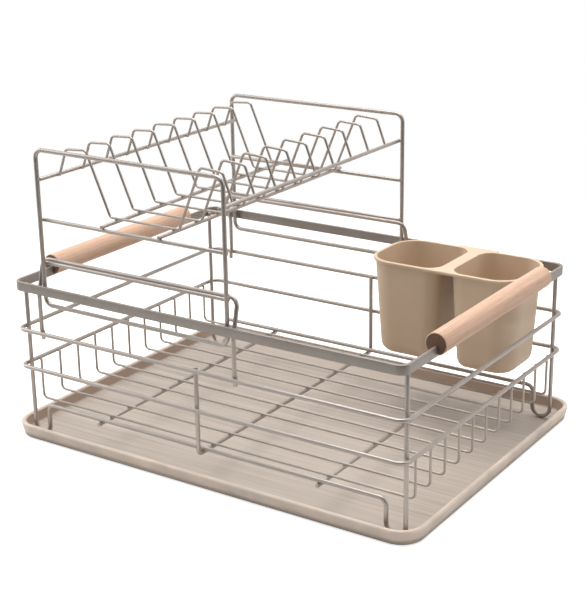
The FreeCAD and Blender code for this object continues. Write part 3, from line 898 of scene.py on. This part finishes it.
@dataclass
class Basket:
    """Wire basket: flat rim bar, two rings, two leg wires, cross wires, grid and two wooden handles."""

    shift: Triple = (4.0, -10.0, 2.8)
    heavy_wire: float = 4.0
    thin_wire: float = 2.4
    rim_length: float = 420.0
    rim_depth: float = 312.0
    rim_thickness: float = 3.0
    rim_height: float = 9.0
    rim_top: float = 156.9
    rim_corner: float = 10.0
    rim_edge: float = 0.7
    rim_corner_steps: int = 12
    rim_edge_steps: int = 5
    mid_ring_height: float = 108.7
    lower_ring_height: float = 71.5
    ring_half_x: float = 209.0
    ring_half_y: float = 153.6
    ring_bend: float = 9.0
    leg_half_y: float = 143.4
    post_half_x: float = 205.0
    post_top: float = 152.5
    foot_width: float = 18.6
    foot_bend: float = 9.0
    bottom_bar: float = 31.6
    bottom_bend: float = 6.5
    middle_cross_x: float = -2.0
    middle_cross_top: float = 111.1
    cross_bend: float = 5.0
    cross_height: float = 27.6
    side_cross_half_x: float = 121.0
    side_cross_half_y: float = 147.5
    grid_count: int = 11
    grid_pitch: float = 25.9
    grid_height: float = 30.8
    grid_bend: float = 5.0
    handle_radius: float = 10.0
    handle_half_length: float = 103.0
    handle_axis: float = 158.5
    handle_slot: float = 5.0
    handle_edge: float = 0.8
    slot_lip: float = 0.5
    slot_corner: float = 0.4
    handle_arc_points: int = 57
    handle_end_points: int = 5
    weld_drop: float = 0.5

    def rim(self) -> Surface:
        """Upright flat section carried round the rounded outline.

        Returns:
            The bar's closed skin.
        """
        half = self.rim_thickness / 2
        corner = self.rim_corner - half
        x = self.rim_length / 2 - half
        y = self.rim_depth / 2 - half
        corners = np.array([(x, -y, 0.0), (x, y, 0.0), (-x, y, 0.0), (-x, -y, 0.0)])
        path, directions = rounded_path(corners, np.full(4, corner), True, self.rim_corner_steps)
        profile = rounded_rectangle(half, self.rim_height / 2, self.rim_edge, self.rim_edge_steps)
        rings = carry(path, directions, np.array(Lies.FLAT.value), profile)
        faces = grid_faces(len(path), len(profile), close_rows=True).tolist()
        return Surface(rings.reshape(-1, 3), faces).moved(z=self.rim_top - self.rim_height / 2)

    def ring(self, height: float) -> Surface:
        """Round wire bent to the rounded outline inside the rim.

        Args:
            height: height of the wire's middle line.

        Returns:
            The wire's closed skin.
        """
        x, y = self.ring_half_x, self.ring_half_y
        corners = [(x, -y, height), (x, y, height), (-x, y, height), (-x, -y, height)]
        return round_wire(corners, [self.ring_bend] * 4, self.heavy_wire, Lies.FLAT, closed=True)

    def leg_wire(self, side: Side) -> Surface:
        """Two posts, two U feet and the bottom bar in one bent wire.

        Args:
            side: front or back.

        Returns:
            The wire's closed skin.
        """
        floor = self.heavy_wire / 2
        inner = self.post_half_x - self.foot_width
        half = [
            (self.post_half_x, self.post_top),
            (self.post_half_x, floor),
            (inner, floor),
            (inner, self.bottom_bar),
        ]
        spots = [(-x, z) for x, z in half] + [(x, z) for x, z in reversed(half)]
        bends = [0.0, self.foot_bend, self.foot_bend, self.bottom_bend]
        corners = [(x, side.value * self.leg_half_y, z) for x, z in spots]
        return round_wire(corners, bends + bends[::-1], self.heavy_wire, Lies.FACING_Y)

    def middle_cross(self) -> Surface:
        """Wide U wire across the basket.

        Returns:
            The wire's closed skin.
        """
        half = self.ring_half_y - self.heavy_wire
        spots = [(-half, self.middle_cross_top), (-half, self.cross_height)]
        spots += [(half, self.cross_height), (half, self.middle_cross_top)]
        corners = [(self.middle_cross_x, y, z) for y, z in spots]
        return round_wire(corners, [self.cross_bend] * 4, self.heavy_wire, Lies.FACING_X)

    def side_cross(self, side: Side) -> Surface:
        """Straight wire under the bottom bars.

        Args:
            side: left or right.

        Returns:
            The wire's closed skin.
        """
        x = side.value * self.side_cross_half_x
        corners = [(x, y, self.cross_height) for y in (-self.side_cross_half_y, self.side_cross_half_y)]
        return round_wire(corners, [0.0, 0.0], self.heavy_wire, Lies.FACING_X)

    def grid_wire(self, index: int) -> Surface:
        """Thin wide U wire of the basket's floor.

        Args:
            index: its number from the front, from 0.

        Returns:
            The wire's closed skin.
        """
        y = (index - (self.grid_count - 1) / 2) * self.grid_pitch
        half = self.ring_half_x - (self.heavy_wire + self.thin_wire) / 2
        spots = [(-half, self.lower_ring_height), (-half, self.grid_height)]
        spots += [(half, self.grid_height), (half, self.lower_ring_height)]
        corners = [(x, y, z) for x, z in spots]
        return round_wire(corners, [self.grid_bend] * 4, self.thin_wire, Lies.FACING_Y, sides=16)

    def handle(self, side: Side) -> Surface:
        """Slotted dowel: its section carried along Y, each end a little narrower round the edge.

        The section is an arc from one lip of the slot over the top to the other lip, then the slot's two
        walls and its top, with the lips and corners cut off a little.

        Args:
            side: left or right.

        Returns:
            The handle's closed skin.
        """
        half_slot = self.handle_slot / 2
        slot_top = self.rim_top - self.handle_axis
        lip = self.slot_lip
        corner = self.slot_corner
        gap = math.asin((half_slot + lip) / self.handle_radius)
        turn = np.linspace(-math.pi / 2 + gap, 1.5 * math.pi - gap, self.handle_arc_points)
        arc = self.handle_radius * np.stack([np.cos(turn), np.sin(turn)], axis=1)
        low = -math.sqrt(self.handle_radius**2 - half_slot**2)
        walls = np.array(
            [
                (-half_slot, low + lip),
                (-half_slot, slot_top - corner),
                (-half_slot + corner, slot_top),
                (half_slot - corner, slot_top),
                (half_slot, slot_top - corner),
                (half_slot, low + lip),
            ]
        )
        section = np.concatenate([arc, walls])
        soft = np.linspace(0.0, math.pi / 2, self.handle_end_points)
        inward = self.handle_edge * (1 - np.cos(soft))
        narrow = 1 - self.handle_edge / self.handle_radius * (1 - np.sin(soft))
        y = np.concatenate([-self.handle_half_length + inward, (self.handle_half_length - inward)[::-1]])
        scale = np.concatenate([narrow, narrow[::-1]])[:, None]
        x = scale * section[None, :, 0]
        z = scale * section[None, :, 1]
        rings = np.stack([x, np.broadcast_to(y[:, None], x.shape), z], axis=-1)
        middle = side.value * (self.rim_length - self.rim_thickness) / 2
        return closed_stack(rings, end_finish=1).moved(x=middle, z=self.handle_axis)

    def weld_spots(self) -> list[Triple]:
        """Where the grid, cross wires, posts and rings touch each other.

        Returns:
            Points where wires touch.
        """
        touch = self.cross_height + self.heavy_wire / 2
        ends = (-1.0, 1.0)
        cross_x = (self.middle_cross_x, -self.side_cross_half_x, self.side_cross_half_x)
        grid_y = [(k - (self.grid_count - 1) / 2) * self.grid_pitch for k in range(self.grid_count)]
        spots = [(x, y, touch) for x in cross_x for y in grid_y]
        spots += [(x, e * self.leg_half_y, touch) for x in cross_x for e in ends]
        inside_x = self.ring_half_x - self.heavy_wire / 2
        inside_y = self.ring_half_y - self.heavy_wire / 2
        spots += [(e * inside_x, y, self.lower_ring_height - self.weld_drop) for e in ends for y in grid_y]
        for height in (self.lower_ring_height, self.mid_ring_height):
            spots += [(e * inside_x, f * self.leg_half_y, height) for e in ends for f in ends]
            spots += [(self.middle_cross_x, e * inside_y, height) for e in ends]
        return spots

    def build(self, finishes: Finishes) -> None:
        """Makes the basket's pieces.

        Args:
            finishes: the rack's materials.
        """

        def place(name: str, surface: Surface, materials: list[bpy.types.Material], slot: Slot) -> None:
            """Makes a piece at the basket's own place."""
            make_piece(name + "_finished", surface.moved(*self.shift), materials, Body.BASKET, slot, [name])

        place("rim_bar", self.rim(), [finishes.rim], Slot.RIM)
        for name, side in (("left", Side.LOW), ("right", Side.HIGH)):
            place("handle_" + name, self.handle(side), [finishes.wood, finishes.end_grain], Slot.WOOD)
            place("side_cross_wire_" + name, self.side_cross(side), [finishes.wire], Slot.WIRE)
        for name, side in (("front", Side.LOW), ("back", Side.HIGH)):
            place(name + "_leg_wire", self.leg_wire(side), [finishes.wire], Slot.WIRE)
        place("mid_ring", self.ring(self.mid_ring_height), [finishes.wire], Slot.WIRE)
        place("lower_ring", self.ring(self.lower_ring_height), [finishes.wire], Slot.WIRE)
        place("middle_cross_wire", self.middle_cross(), [finishes.wire], Slot.WIRE)
        for index in range(self.grid_count):
            place("grid_wire_%02d" % (index + 1), self.grid_wire(index), [finishes.thin_wire], Slot.WIRE)
        beads = weld_beads(self.weld_spots()).moved(*self.shift)
        make_piece("basket_weld_beads", beads, [finishes.wire], Body.BASKET, Slot.WIRE, [])


@dataclass
class PlateTier:
    """Lift-off upper tier: two end frames, crossbars, rails, hook wires and thin plate dividers."""

    shift: Triple = (-66.3, -10.0, 2.8)
    heavy_wire: float = 4.0
    bar_wire: float = 3.6
    thin_wire: float = 2.4
    frame_half_x: float = 104.1
    frame_half_y: float = 149.4
    frame_top: float = 284.5
    frame_bottom: float = 137.5
    frame_bend: float = 8.0
    mid_bar: float = 218.5
    low_bar: float = 177.4
    bar_half_y: float = 145.6
    top_rail: float = 257.5
    top_rail_half_x: float = 100.3
    top_rail_half_y: float = 151.0
    base_rail_half_x: float = 32.3
    base_rail_half_y: float = 148.5
    hook_half_x: float = 110.9
    hook_bar_half_y: float = 142.5
    hook_bar_rise: float = 2.198
    hook_leg_half_y: float = 150.65
    hook_tip_half_y: float = 149.3
    hook_lean_end: float = 145.5
    hook_joggle_top: float = 111.9
    hook_joggle_drop: float = 2.4
    hook_tip: float = 102.0
    hook_bend: float = 8.0
    joggle_bend: float = 4.0
    divider_count: int = 9
    divider_pitch: float = 31.8
    divider_line: tuple[tuple[float, float], ...] = (
        (39.0, 225.1),
        (64.0, 283.5),
        (87.5, 282.0),
        (97.3, 256.5),
    )
    divider_bends: tuple[float, ...] = (4.0, 4.5, 4.5, 0.0)
    weld_drop: float = 0.4

    def end_frame(self, side: Side) -> Surface:
        """Closed upright frame of round wire.

        Args:
            side: front or back.

        Returns:
            The wire's closed skin.
        """
        x, y = self.frame_half_x, side.value * self.frame_half_y
        low, top = self.frame_bottom, self.frame_top
        corners = [(x, y, low), (x, y, top), (-x, y, top), (-x, y, low)]
        return round_wire(corners, [self.frame_bend] * 4, self.heavy_wire, Lies.FACING_Y, closed=True)

    def crossbar(self, side: Side, height: float) -> Surface:
        """Straight bar across an end frame.

        Args:
            side: front or back.
            height: height of the wire's middle line.

        Returns:
            The wire's closed skin.
        """
        y = side.value * self.bar_half_y
        corners = [(x, y, height) for x in (-self.frame_half_x, self.frame_half_x)]
        return round_wire(corners, [0.0, 0.0], self.bar_wire, Lies.FACING_Y)

    def rail(self, x: float, half_y: float, height: float) -> Surface:
        """Straight rail along the tier.

        Args:
            x: place across the tier.
            half_y: half the length.
            height: height of its middle line.

        Returns:
            The wire's closed skin.
        """
        corners = [(x, -half_y, height), (x, half_y, height)]
        return round_wire(corners, [0.0, 0.0], self.bar_wire, Lies.FACING_X)

    def hook_wire(self, side: Side) -> Surface:
        """Bar beside the lower crossbar with two legs that lean out, run down and step inward at the tips.

        The bar lies above the crossbar in front and below it at the back.

        Args:
            side: front or back.

        Returns:
            The wire's closed skin.
        """
        sign = side.value
        bar = (sign * self.hook_bar_half_y, self.low_bar - sign * self.hook_bar_rise)
        leg = [
            (sign * self.hook_leg_half_y, self.hook_lean_end),
            (sign * self.hook_leg_half_y, self.hook_joggle_top),
            (sign * self.hook_tip_half_y, self.hook_joggle_top - self.hook_joggle_drop),
            (sign * self.hook_tip_half_y, self.hook_tip),
        ]
        left = [(-self.hook_half_x, y, z) for y, z in reversed(leg)] + [(-self.hook_half_x, *bar)]
        right = [(self.hook_half_x, *bar)] + [(self.hook_half_x, y, z) for y, z in leg]
        bends = [0.0, self.joggle_bend, self.joggle_bend, self.hook_bend, self.hook_bend]
        return round_wire(left + right, bends + bends[::-1], self.heavy_wire, Lies.FACING_Y)

    def divider(self, index: int) -> Surface:
        """Thin wire with two sloped arms and flat shoulders, low in the middle.

        Args:
            index: its number from the front, from 0.

        Returns:
            The wire's closed skin.
        """
        y = (index - (self.divider_count - 1) / 2) * self.divider_pitch
        right = [(x, y, z) for x, z in self.divider_line]
        left = [(-x, y, z) for x, z in reversed(self.divider_line)]
        bends = list(self.divider_bends)
        return round_wire(left + right, bends[::-1] + bends, self.thin_wire, Lies.FACING_Y, sides=16)

    def weld_spots(self) -> list[Triple]:
        """Where dividers, rails, crossbars and end frames touch each other.

        Returns:
            Points where wires touch.
        """
        ends = (-1.0, 1.0)
        bar = self.bar_wire / 2
        rows = [(k - (self.divider_count - 1) / 2) * self.divider_pitch for k in range(self.divider_count)]
        on_rail = self.mid_bar + self.bar_wire + bar
        spots = [(e * self.base_rail_half_x, y, on_rail) for e in ends for y in rows]
        inside = self.top_rail_half_x - bar
        spots += [(e * inside, y, self.top_rail - self.weld_drop) for e in ends for y in rows]
        for e in ends:
            for f in ends:
                spots.append((e * self.base_rail_half_x, f * self.bar_half_y, self.mid_bar + bar))
                spots.append((e * (self.top_rail_half_x + bar), f * self.frame_half_y, self.top_rail))
                for height in (self.mid_bar, self.low_bar):
                    spots.append((e * self.frame_half_x, f * (self.bar_half_y + bar), height))
        return spots

    def build(self, finishes: Finishes) -> None:
        """Makes the tier's pieces.

        Args:
            finishes: the rack's materials.
        """

        def place(name: str, surface: Surface, material: bpy.types.Material) -> None:
            """Makes a piece at the tier's own place."""
            placed = surface.moved(*self.shift)
            make_piece(name + "_finished", placed, [material], Body.TIER, Slot.WIRE, [name])

        for name, side in (("front", Side.LOW), ("back", Side.HIGH)):
            place("tier_end_frame_" + name, self.end_frame(side), finishes.wire)
            place("tier_middle_bar_" + name, self.crossbar(side, self.mid_bar), finishes.wire)
            place("tier_lower_bar_" + name, self.crossbar(side, self.low_bar), finishes.wire)
            place("tier_hook_wire_" + name, self.hook_wire(side), finishes.wire)
        on_bar = self.mid_bar + self.bar_wire
        for name, side in (("left", Side.LOW), ("right", Side.HIGH)):
            top = self.rail(side.value * self.top_rail_half_x, self.top_rail_half_y, self.top_rail)
            base = self.rail(side.value * self.base_rail_half_x, self.base_rail_half_y, on_bar)
            place("tier_top_rail_" + name, top, finishes.wire)
            place("tier_base_rail_" + name, base, finishes.wire)
        for index in range(self.divider_count):
            place("plate_divider_%d" % (index + 1), self.divider(index), finishes.thin_wire)
        beads = weld_beads(self.weld_spots()).moved(*self.shift)
        make_piece("tier_weld_beads", beads, [finishes.wire], Body.TIER, Slot.WIRE, [])


@dataclass
class CaddyHalf:
    """One cup with its share of the deck, its outer side towards +X.

    Rays from the cup's middle at fixed angles cut every ring, so the points of all rings lie in line. Along
    the seam between the two halves the points have places along Y that both halves share.
    """

    cup_half_x: float
    cup_half_y: float
    to_seam: float
    deck_half_x: float
    deck_half_y: float
    deck_corner: float
    outer_corner: float
    bridge_corner: float
    seam_steps: int = 40
    corner_steps: int = 14
    side_steps: int = 8
    seam_clearance: float = 0.01
    smallest_corner: float = 1.0

    def __post_init__(self) -> None:
        """Finds the angles of the rays and which of them meet the seam."""
        seam_y = np.linspace(-self.deck_half_y, self.deck_half_y, self.seam_steps + 1)
        outline = rounded_rectangle(
            self.cup_half_x, self.cup_half_y, self.outer_corner, self.corner_steps, self.side_steps
        )
        around = np.arctan2(outline[:, 1], outline[:, 0])
        seam_end = np.arctan2(self.deck_half_y, -self.to_seam) - self.seam_clearance
        around = around[np.abs(around) < seam_end]
        seam_turn = np.arctan2(seam_y, -self.to_seam)
        order = np.argsort(np.concatenate([around, seam_turn]))
        self.turn = np.concatenate([around, seam_turn])[order]
        self.seam_y = np.concatenate([np.zeros(len(around)), seam_y])[order]
        self.on_seam = np.concatenate([np.zeros(len(around), bool), np.ones(len(seam_y), bool)])[order]

    def reach(self, half_x: Array | float, half_y: float, radius: Array | float) -> Array:
        """Distance from the middle to a rounded rectangle at each angle.

        It is half_x / |cos| where that meets the straight side, half_y / |sin| where that meets the other
        one, and else the far root of |t d - k| = radius, with d the ray's direction and k the centre of the
        corner's arc.

        Args:
            half_x: half the width.
            half_y: half the depth.
            radius: radius of the corners.

        Returns:
            One distance for each ray.
        """
        smallest = 1e-9
        c = np.maximum(np.abs(np.cos(self.turn)), smallest)
        s = np.maximum(np.abs(np.sin(self.turn)), smallest)
        to_side = half_x / c
        to_end = half_y / s
        k_x = half_x - radius
        k_y = half_y - radius
        along = c * k_x + s * k_y
        to_arc = along + np.sqrt(np.maximum(along**2 - k_x**2 - k_y**2 + radius**2, 0.0))
        return np.where(to_side * s <= k_y, to_side, np.where(to_end * c <= k_x, to_end, to_arc))

    def level_ring(self, far: Array, height: float) -> Array:
        """Points at distances along the rays, all at one height."""
        return np.stack([far * np.cos(self.turn), far * np.sin(self.turn), np.full(len(far), height)], axis=1)

    def cup_ring(self, inset: float, height: float) -> Array:
        """One ring of the cup, drawn in from the cup's outer top outline.

        Args:
            inset: how far it lies inside the outline.
            height: its height.

        Returns:
            One point for each ray.
        """
        corner = np.where(np.cos(self.turn) >= 0, self.outer_corner, self.bridge_corner)
        radius = np.maximum(corner - inset, self.smallest_corner)
        return self.level_ring(self.reach(self.cup_half_x - inset, self.cup_half_y - inset, radius), height)

    def deck_ring(self, inset: float, height: float) -> Array:
        """One ring of the deck's half outline: rounded outside, straight along the seam between the cups.

        Args:
            inset: how far it lies inside the outline.
            height: its height.

        Returns:
            One point for each ray.
        """
        outside = np.cos(self.turn) >= 0
        half_x = np.where(outside, self.deck_half_x - inset, self.to_seam)
        half_y = self.deck_half_y - inset
        corner = np.where(outside, self.deck_corner - inset, 0.0)
        ring = self.level_ring(self.reach(half_x, half_y, corner), height)
        ring[self.on_seam, 0] = -self.to_seam
        ring[self.on_seam, 1] = np.clip(self.seam_y[self.on_seam], -half_y, half_y)
        return ring


@dataclass
class CutleryCaddy:
    """Moulded caddy: a flat deck with a rounded edge, two tapered cups and a hook over the rim."""

    middle: Triple = (121.5, 100.5, 161.3)
    width: float = 161.0
    depth: float = 84.2
    corner: float = 28.0
    bridge_corner: float = 17.0
    lip: float = 2.0
    wall: float = 1.5
    edge: float = 2.8
    cup_gap: float = 10.4
    gap_shift: float = 3.7
    height: float = 97.0
    slope: float = 3.4
    base_round: float = 10.5
    edge_round: float = 0.8
    under_edge_round: float = 0.4
    mouth_round: float = 0.6
    hook_half_width: float = 21.0
    hook_back: float = 47.1
    hook_top: float = -0.4
    hook_thickness: float = 1.2
    hook_drop: float = 8.2
    base_points: int = 7
    edge_points: int = 5
    under_edge_points: int = 4
    bend_points: int = 7
    tip_points: int = 9

    def half(self, side: Side) -> Surface:
        """One half: inside of the cup, over the deck, round its edge and down the cup's outside.

        Each ring is an outline drawn in by its own inset at its own height. On a round stretch of radius r
        the one follows r (1 - sin t) and the other r (1 - cos t), or the reverse, with t over a quarter turn.

        Args:
            side: the half's side.

        Returns:
            The half's skin, open along the seam.
        """
        seam = side.value * self.gap_shift
        inner_side = seam + self.cup_gap / 2
        half_x = (self.width / 2 - self.lip - inner_side) / 2
        middle = inner_side + half_x
        form = CaddyHalf(
            cup_half_x=half_x,
            cup_half_y=self.depth / 2 - self.lip,
            to_seam=middle - seam,
            deck_half_x=self.width / 2 - middle,
            deck_half_y=self.depth / 2,
            deck_corner=self.corner,
            outer_corner=self.corner - self.lip,
            bridge_corner=self.bridge_corner,
        )
        lean = math.tan(math.radians(self.slope))
        quarter = np.linspace(0.0, math.pi / 2, self.base_points)
        soft = np.linspace(0.0, math.pi / 2, self.edge_points)
        inner_round = self.base_round - self.wall
        inner_floor = self.wall - self.height
        inner_foot = self.wall - inner_floor * lean
        rings = []
        for t in quarter:
            inset = inner_foot + inner_round * (1 - math.sin(t))
            rings.append(form.cup_ring(inset, inner_floor + inner_round * (1 - math.cos(t))))
        for t in soft:
            inset = self.wall - self.mouth_round * (1 - math.cos(t))
            rings.append(form.cup_ring(inset, -self.mouth_round * (1 - math.sin(t))))
        first_edge = len(rings)
        for t in soft:
            inset = self.edge_round * (1 - math.sin(t))
            rings.append(form.deck_ring(inset, -self.edge_round * (1 - math.cos(t))))
        under = self.under_edge_round
        for t in np.linspace(0.0, math.pi / 2, self.under_edge_points):
            rings.append(form.deck_ring(under * (1 - math.cos(t)), -self.edge + under * (1 - math.sin(t))))
        last_edge = len(rings) - 1
        rings.append(form.cup_ring(self.edge * lean, -self.edge))
        outer_foot = self.height * lean
        for t in quarter[::-1]:
            inset = outer_foot + self.base_round * (1 - math.sin(t))
            rings.append(form.cup_ring(inset, -self.height + self.base_round * (1 - math.cos(t))))
        skin = closed_stack(np.array(rings), pole=True)
        count = len(form.turn)

        def between_halves(corners: list[int]) -> bool:
            """Whether a face of the deck's edge lies on the seam, where the other half goes on."""
            row = min(corners) // count
            return first_edge <= row < last_edge and all(form.on_seam[v % count] for v in corners)

        kept = [face for face in skin.faces if len(face) == 3 or not between_halves(face)]
        whole = Surface(skin.points, kept).moved(x=middle)
        return whole if side is Side.HIGH else whole.mirrored_x()

    def hook(self) -> Surface:
        """Tab and flange over the rim: an angled strip carried along X, its outer bend and its tip round.

        Returns:
            The hook's closed skin.
        """
        t = self.hook_thickness
        top = self.hook_top
        start = self.depth / 2 - self.edge_round
        inner_back = self.hook_back - t
        bend = np.linspace(math.pi / 2, 0.0, self.bend_points)
        outer = np.stack([inner_back + t * np.cos(bend), top - t + t * np.sin(bend)], axis=1)
        low = top - self.hook_drop
        tip = np.linspace(0.0, -math.pi, self.tip_points)
        tip_y = self.hook_back - t / 2 + t / 2 * np.cos(tip)
        tip_z = low + t / 2 + t / 2 * np.sin(tip)
        end = np.stack([tip_y, tip_z], axis=1)
        strip = np.concatenate([[(start, top)], outer, end, [(inner_back, top - t), (start, top - t)]])
        x = np.array([-self.hook_half_width, self.hook_half_width])
        shape = (2, len(strip))
        spread = (x[:, None], strip[None, :, 0], strip[None, :, 1])
        return closed_stack(np.stack([np.broadcast_to(part, shape) for part in spread], axis=-1))

    def build(self, finishes: Finishes) -> None:
        """Makes the caddy from its two halves and its hook.

        Args:
            finishes: the rack's materials.
        """
        whole = self.half(Side.HIGH).joined(self.half(Side.LOW)).joined(self.hook()).moved(*self.middle)
        whole.finish_of_face = []
        make_piece("caddy_shell", whole, [finishes.plastic], Body.CADDY, Slot.PLASTIC, ["cutlery_caddy"])


# Studio


@dataclass
class PhotoCamera:
    """The camera, at the photograph's place and angle."""

    place: Triple = (714.1, -1064.2, 567.5)
    azimuth: float = 33.45
    elevation: float = 18.51
    roll: float = 0.74
    lens: float = 85.0
    sensor_width: float = 36.0
    shift: tuple[float, float] = (-0.0187, -0.0172)
    far_end: float = 50.0

    def build(self) -> None:
        """Turns the camera by its azimuth, elevation and roll."""
        azimuth, elevation, roll = (math.radians(v) for v in (self.azimuth, self.elevation, self.roll))
        level = math.cos(elevation)
        ahead = Vector((-math.sin(azimuth) * level, math.cos(azimuth) * level, -math.sin(elevation)))
        right = Vector((math.cos(azimuth), math.sin(azimuth), 0.0))
        down = ahead.cross(right)
        across = math.cos(roll) * right + math.sin(roll) * down
        lower = math.cos(roll) * down - math.sin(roll) * right
        lens = bpy.data.cameras.new("photo_camera")
        lens.lens = self.lens
        lens.sensor_width = self.sensor_width
        lens.shift_x, lens.shift_y = self.shift
        lens.clip_end = self.far_end
        camera = bpy.data.objects.new("photo_camera", lens)
        columns = Matrix((across, -lower, -ahead)).transposed()
        camera.matrix_world = Matrix.Translation(Vector(self.place) * MM) @ columns.to_4x4()
        bpy.context.scene.collection.objects.link(camera)
        bpy.context.scene.camera = camera
        log.info("camera ready")


@dataclass
class SoftBox:
    """One large soft lamp that points at the rack."""

    name: str
    place: Triple
    size: tuple[float, float]
    power: float
    colour: Triple = (1.0, 1.0, 1.0)
    target: Triple = (0.0, 0.0, 0.12)

    def build(self) -> None:
        """Hangs the lamp and aims it."""
        lamp = bpy.data.lights.new(self.name, "AREA")
        lamp.shape = "RECTANGLE"
        lamp.size, lamp.size_y = self.size
        lamp.energy = self.power
        lamp.color = self.colour
        stand = bpy.data.objects.new(self.name, lamp)
        stand.location = self.place
        aim = Vector(self.target) - Vector(self.place)
        stand.rotation_euler = aim.to_track_quat("-Z", "Y").to_euler()
        bpy.context.scene.collection.objects.link(stand)


@dataclass
class Studio:
    """Plain pale floor that keeps a faint shadow, white surroundings and soft lamps."""

    floor_size: float = 3.0
    opaque_to: float = 0.42
    clear_from: float = 0.95
    floor_colour: Colour = (222, 220, 217)
    floor_glow: float = 0.6
    bright: float = 0.8
    dim: float = 0.08
    toward_camera: Triple = (0.62, -0.74, -0.2)
    dim_from: float = -0.1
    dim_to: float = 0.75
    floor_gap: float = 0.0002

    def world(self) -> None:
        """White where the camera sees it, else a dome that grows darker towards the camera's side."""
        world = bpy.data.worlds.new("studio_world")
        world.use_nodes = True
        bpy.context.scene.world = world
        tree = world.node_tree
        background = tree.nodes["Background"]
        background.inputs["Color"].default_value = (1.0, 1.0, 1.0, 1.0)
        spot = tree.nodes.new("ShaderNodeTexCoord")
        facing = tree.nodes.new("ShaderNodeVectorMath")
        facing.operation = "DOT_PRODUCT"
        tree.links.new(spot.outputs["Generated"], facing.inputs[0])
        facing.inputs[1].default_value = self.toward_camera
        dome = tree.nodes.new("ShaderNodeMapRange")
        dome.interpolation_type = "SMOOTHSTEP"
        ranges = {
            "From Min": self.dim_from,
            "From Max": self.dim_to,
            "To Min": self.bright,
            "To Max": self.dim,
        }
        for name, value in ranges.items():
            dome.inputs[name].default_value = value
        tree.links.new(facing.outputs["Value"], dome.inputs["Value"])
        rays = tree.nodes.new("ShaderNodeLightPath")
        level = tree.nodes.new("ShaderNodeMapRange")
        tree.links.new(rays.outputs["Is Camera Ray"], level.inputs["Value"])
        tree.links.new(dome.outputs["Result"], level.inputs["To Min"])
        level.inputs["To Max"].default_value = 1.0
        tree.links.new(level.outputs["Result"], background.inputs["Strength"])

    def floor(self) -> None:
        """Pale square that keeps the rack's shadow and thins out all round into the white surroundings.

        It glows for the camera alone, so that it reads as white as what lies behind.
        """
        graph = Graph("studio_floor")
        distance = graph.node("ShaderNodeVectorMath")
        distance.operation = "LENGTH"
        graph.put(distance.inputs[0], graph.place)
        solid = graph.between(distance.outputs["Value"], 1.0, 0.0, self.opaque_to, self.clear_from)
        seen = graph.node("ShaderNodeLightPath").outputs["Is Camera Ray"]
        glow = graph.between(seen, 0.0, self.floor_glow, 0.0, 1.0)
        material = graph.finish(
            Base_Color=tint(self.floor_colour),
            Roughness=0.9,
            Specular_IOR_Level=0.1,
            Alpha=solid,
            Emission_Color=(1.0, 1.0, 1.0, 1.0),
            Emission_Strength=glow,
        )
        half = self.floor_size / 2
        mesh = bpy.data.meshes.new("studio_floor")
        below = -self.floor_gap
        corners = [(-half, -half, below), (half, -half, below), (half, half, below), (-half, half, below)]
        mesh.from_pydata(corners, [], [(0, 1, 2, 3)])
        mesh.materials.append(material)
        floor = bpy.data.objects.new("studio_floor", mesh)
        bpy.context.scene.collection.objects.link(floor)

    def lamps(self) -> list[SoftBox]:
        """A broad lamp overhead and a weaker one at each side.

        Returns:
            The lamps.
        """
        return [
            SoftBox("overhead_lamp", place=(-0.1, 0.2, 1.9), size=(1.6, 1.5), power=38.0),
            SoftBox("left_lamp", place=(-1.7, -0.5, 1.0), size=(1.0, 1.3), power=12.0),
            SoftBox("right_lamp", place=(1.9, 0.5, 0.9), size=(0.9, 1.2), power=6.0),
        ]

    def build(self) -> None:
        """Makes floor, surroundings and lamps."""
        bpy.context.scene.view_settings.view_transform = "Standard"
        self.world()
        self.floor()
        for lamp in self.lamps():
            lamp.build()
        log.info("studio ready")


def main() -> None:
    """Builds the camera, the studio and each sub-assembly."""
    logging.basicConfig(level=logging.INFO, format="%(name)s: %(message)s")
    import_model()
    PhotoCamera().build()
    Studio().build()
    finishes = Finishes.made()
    for assembly in (DripTray(), Basket(), PlateTier(), CutleryCaddy()):
        assembly.build(finishes)


if __name__ == "__main__":
    main()
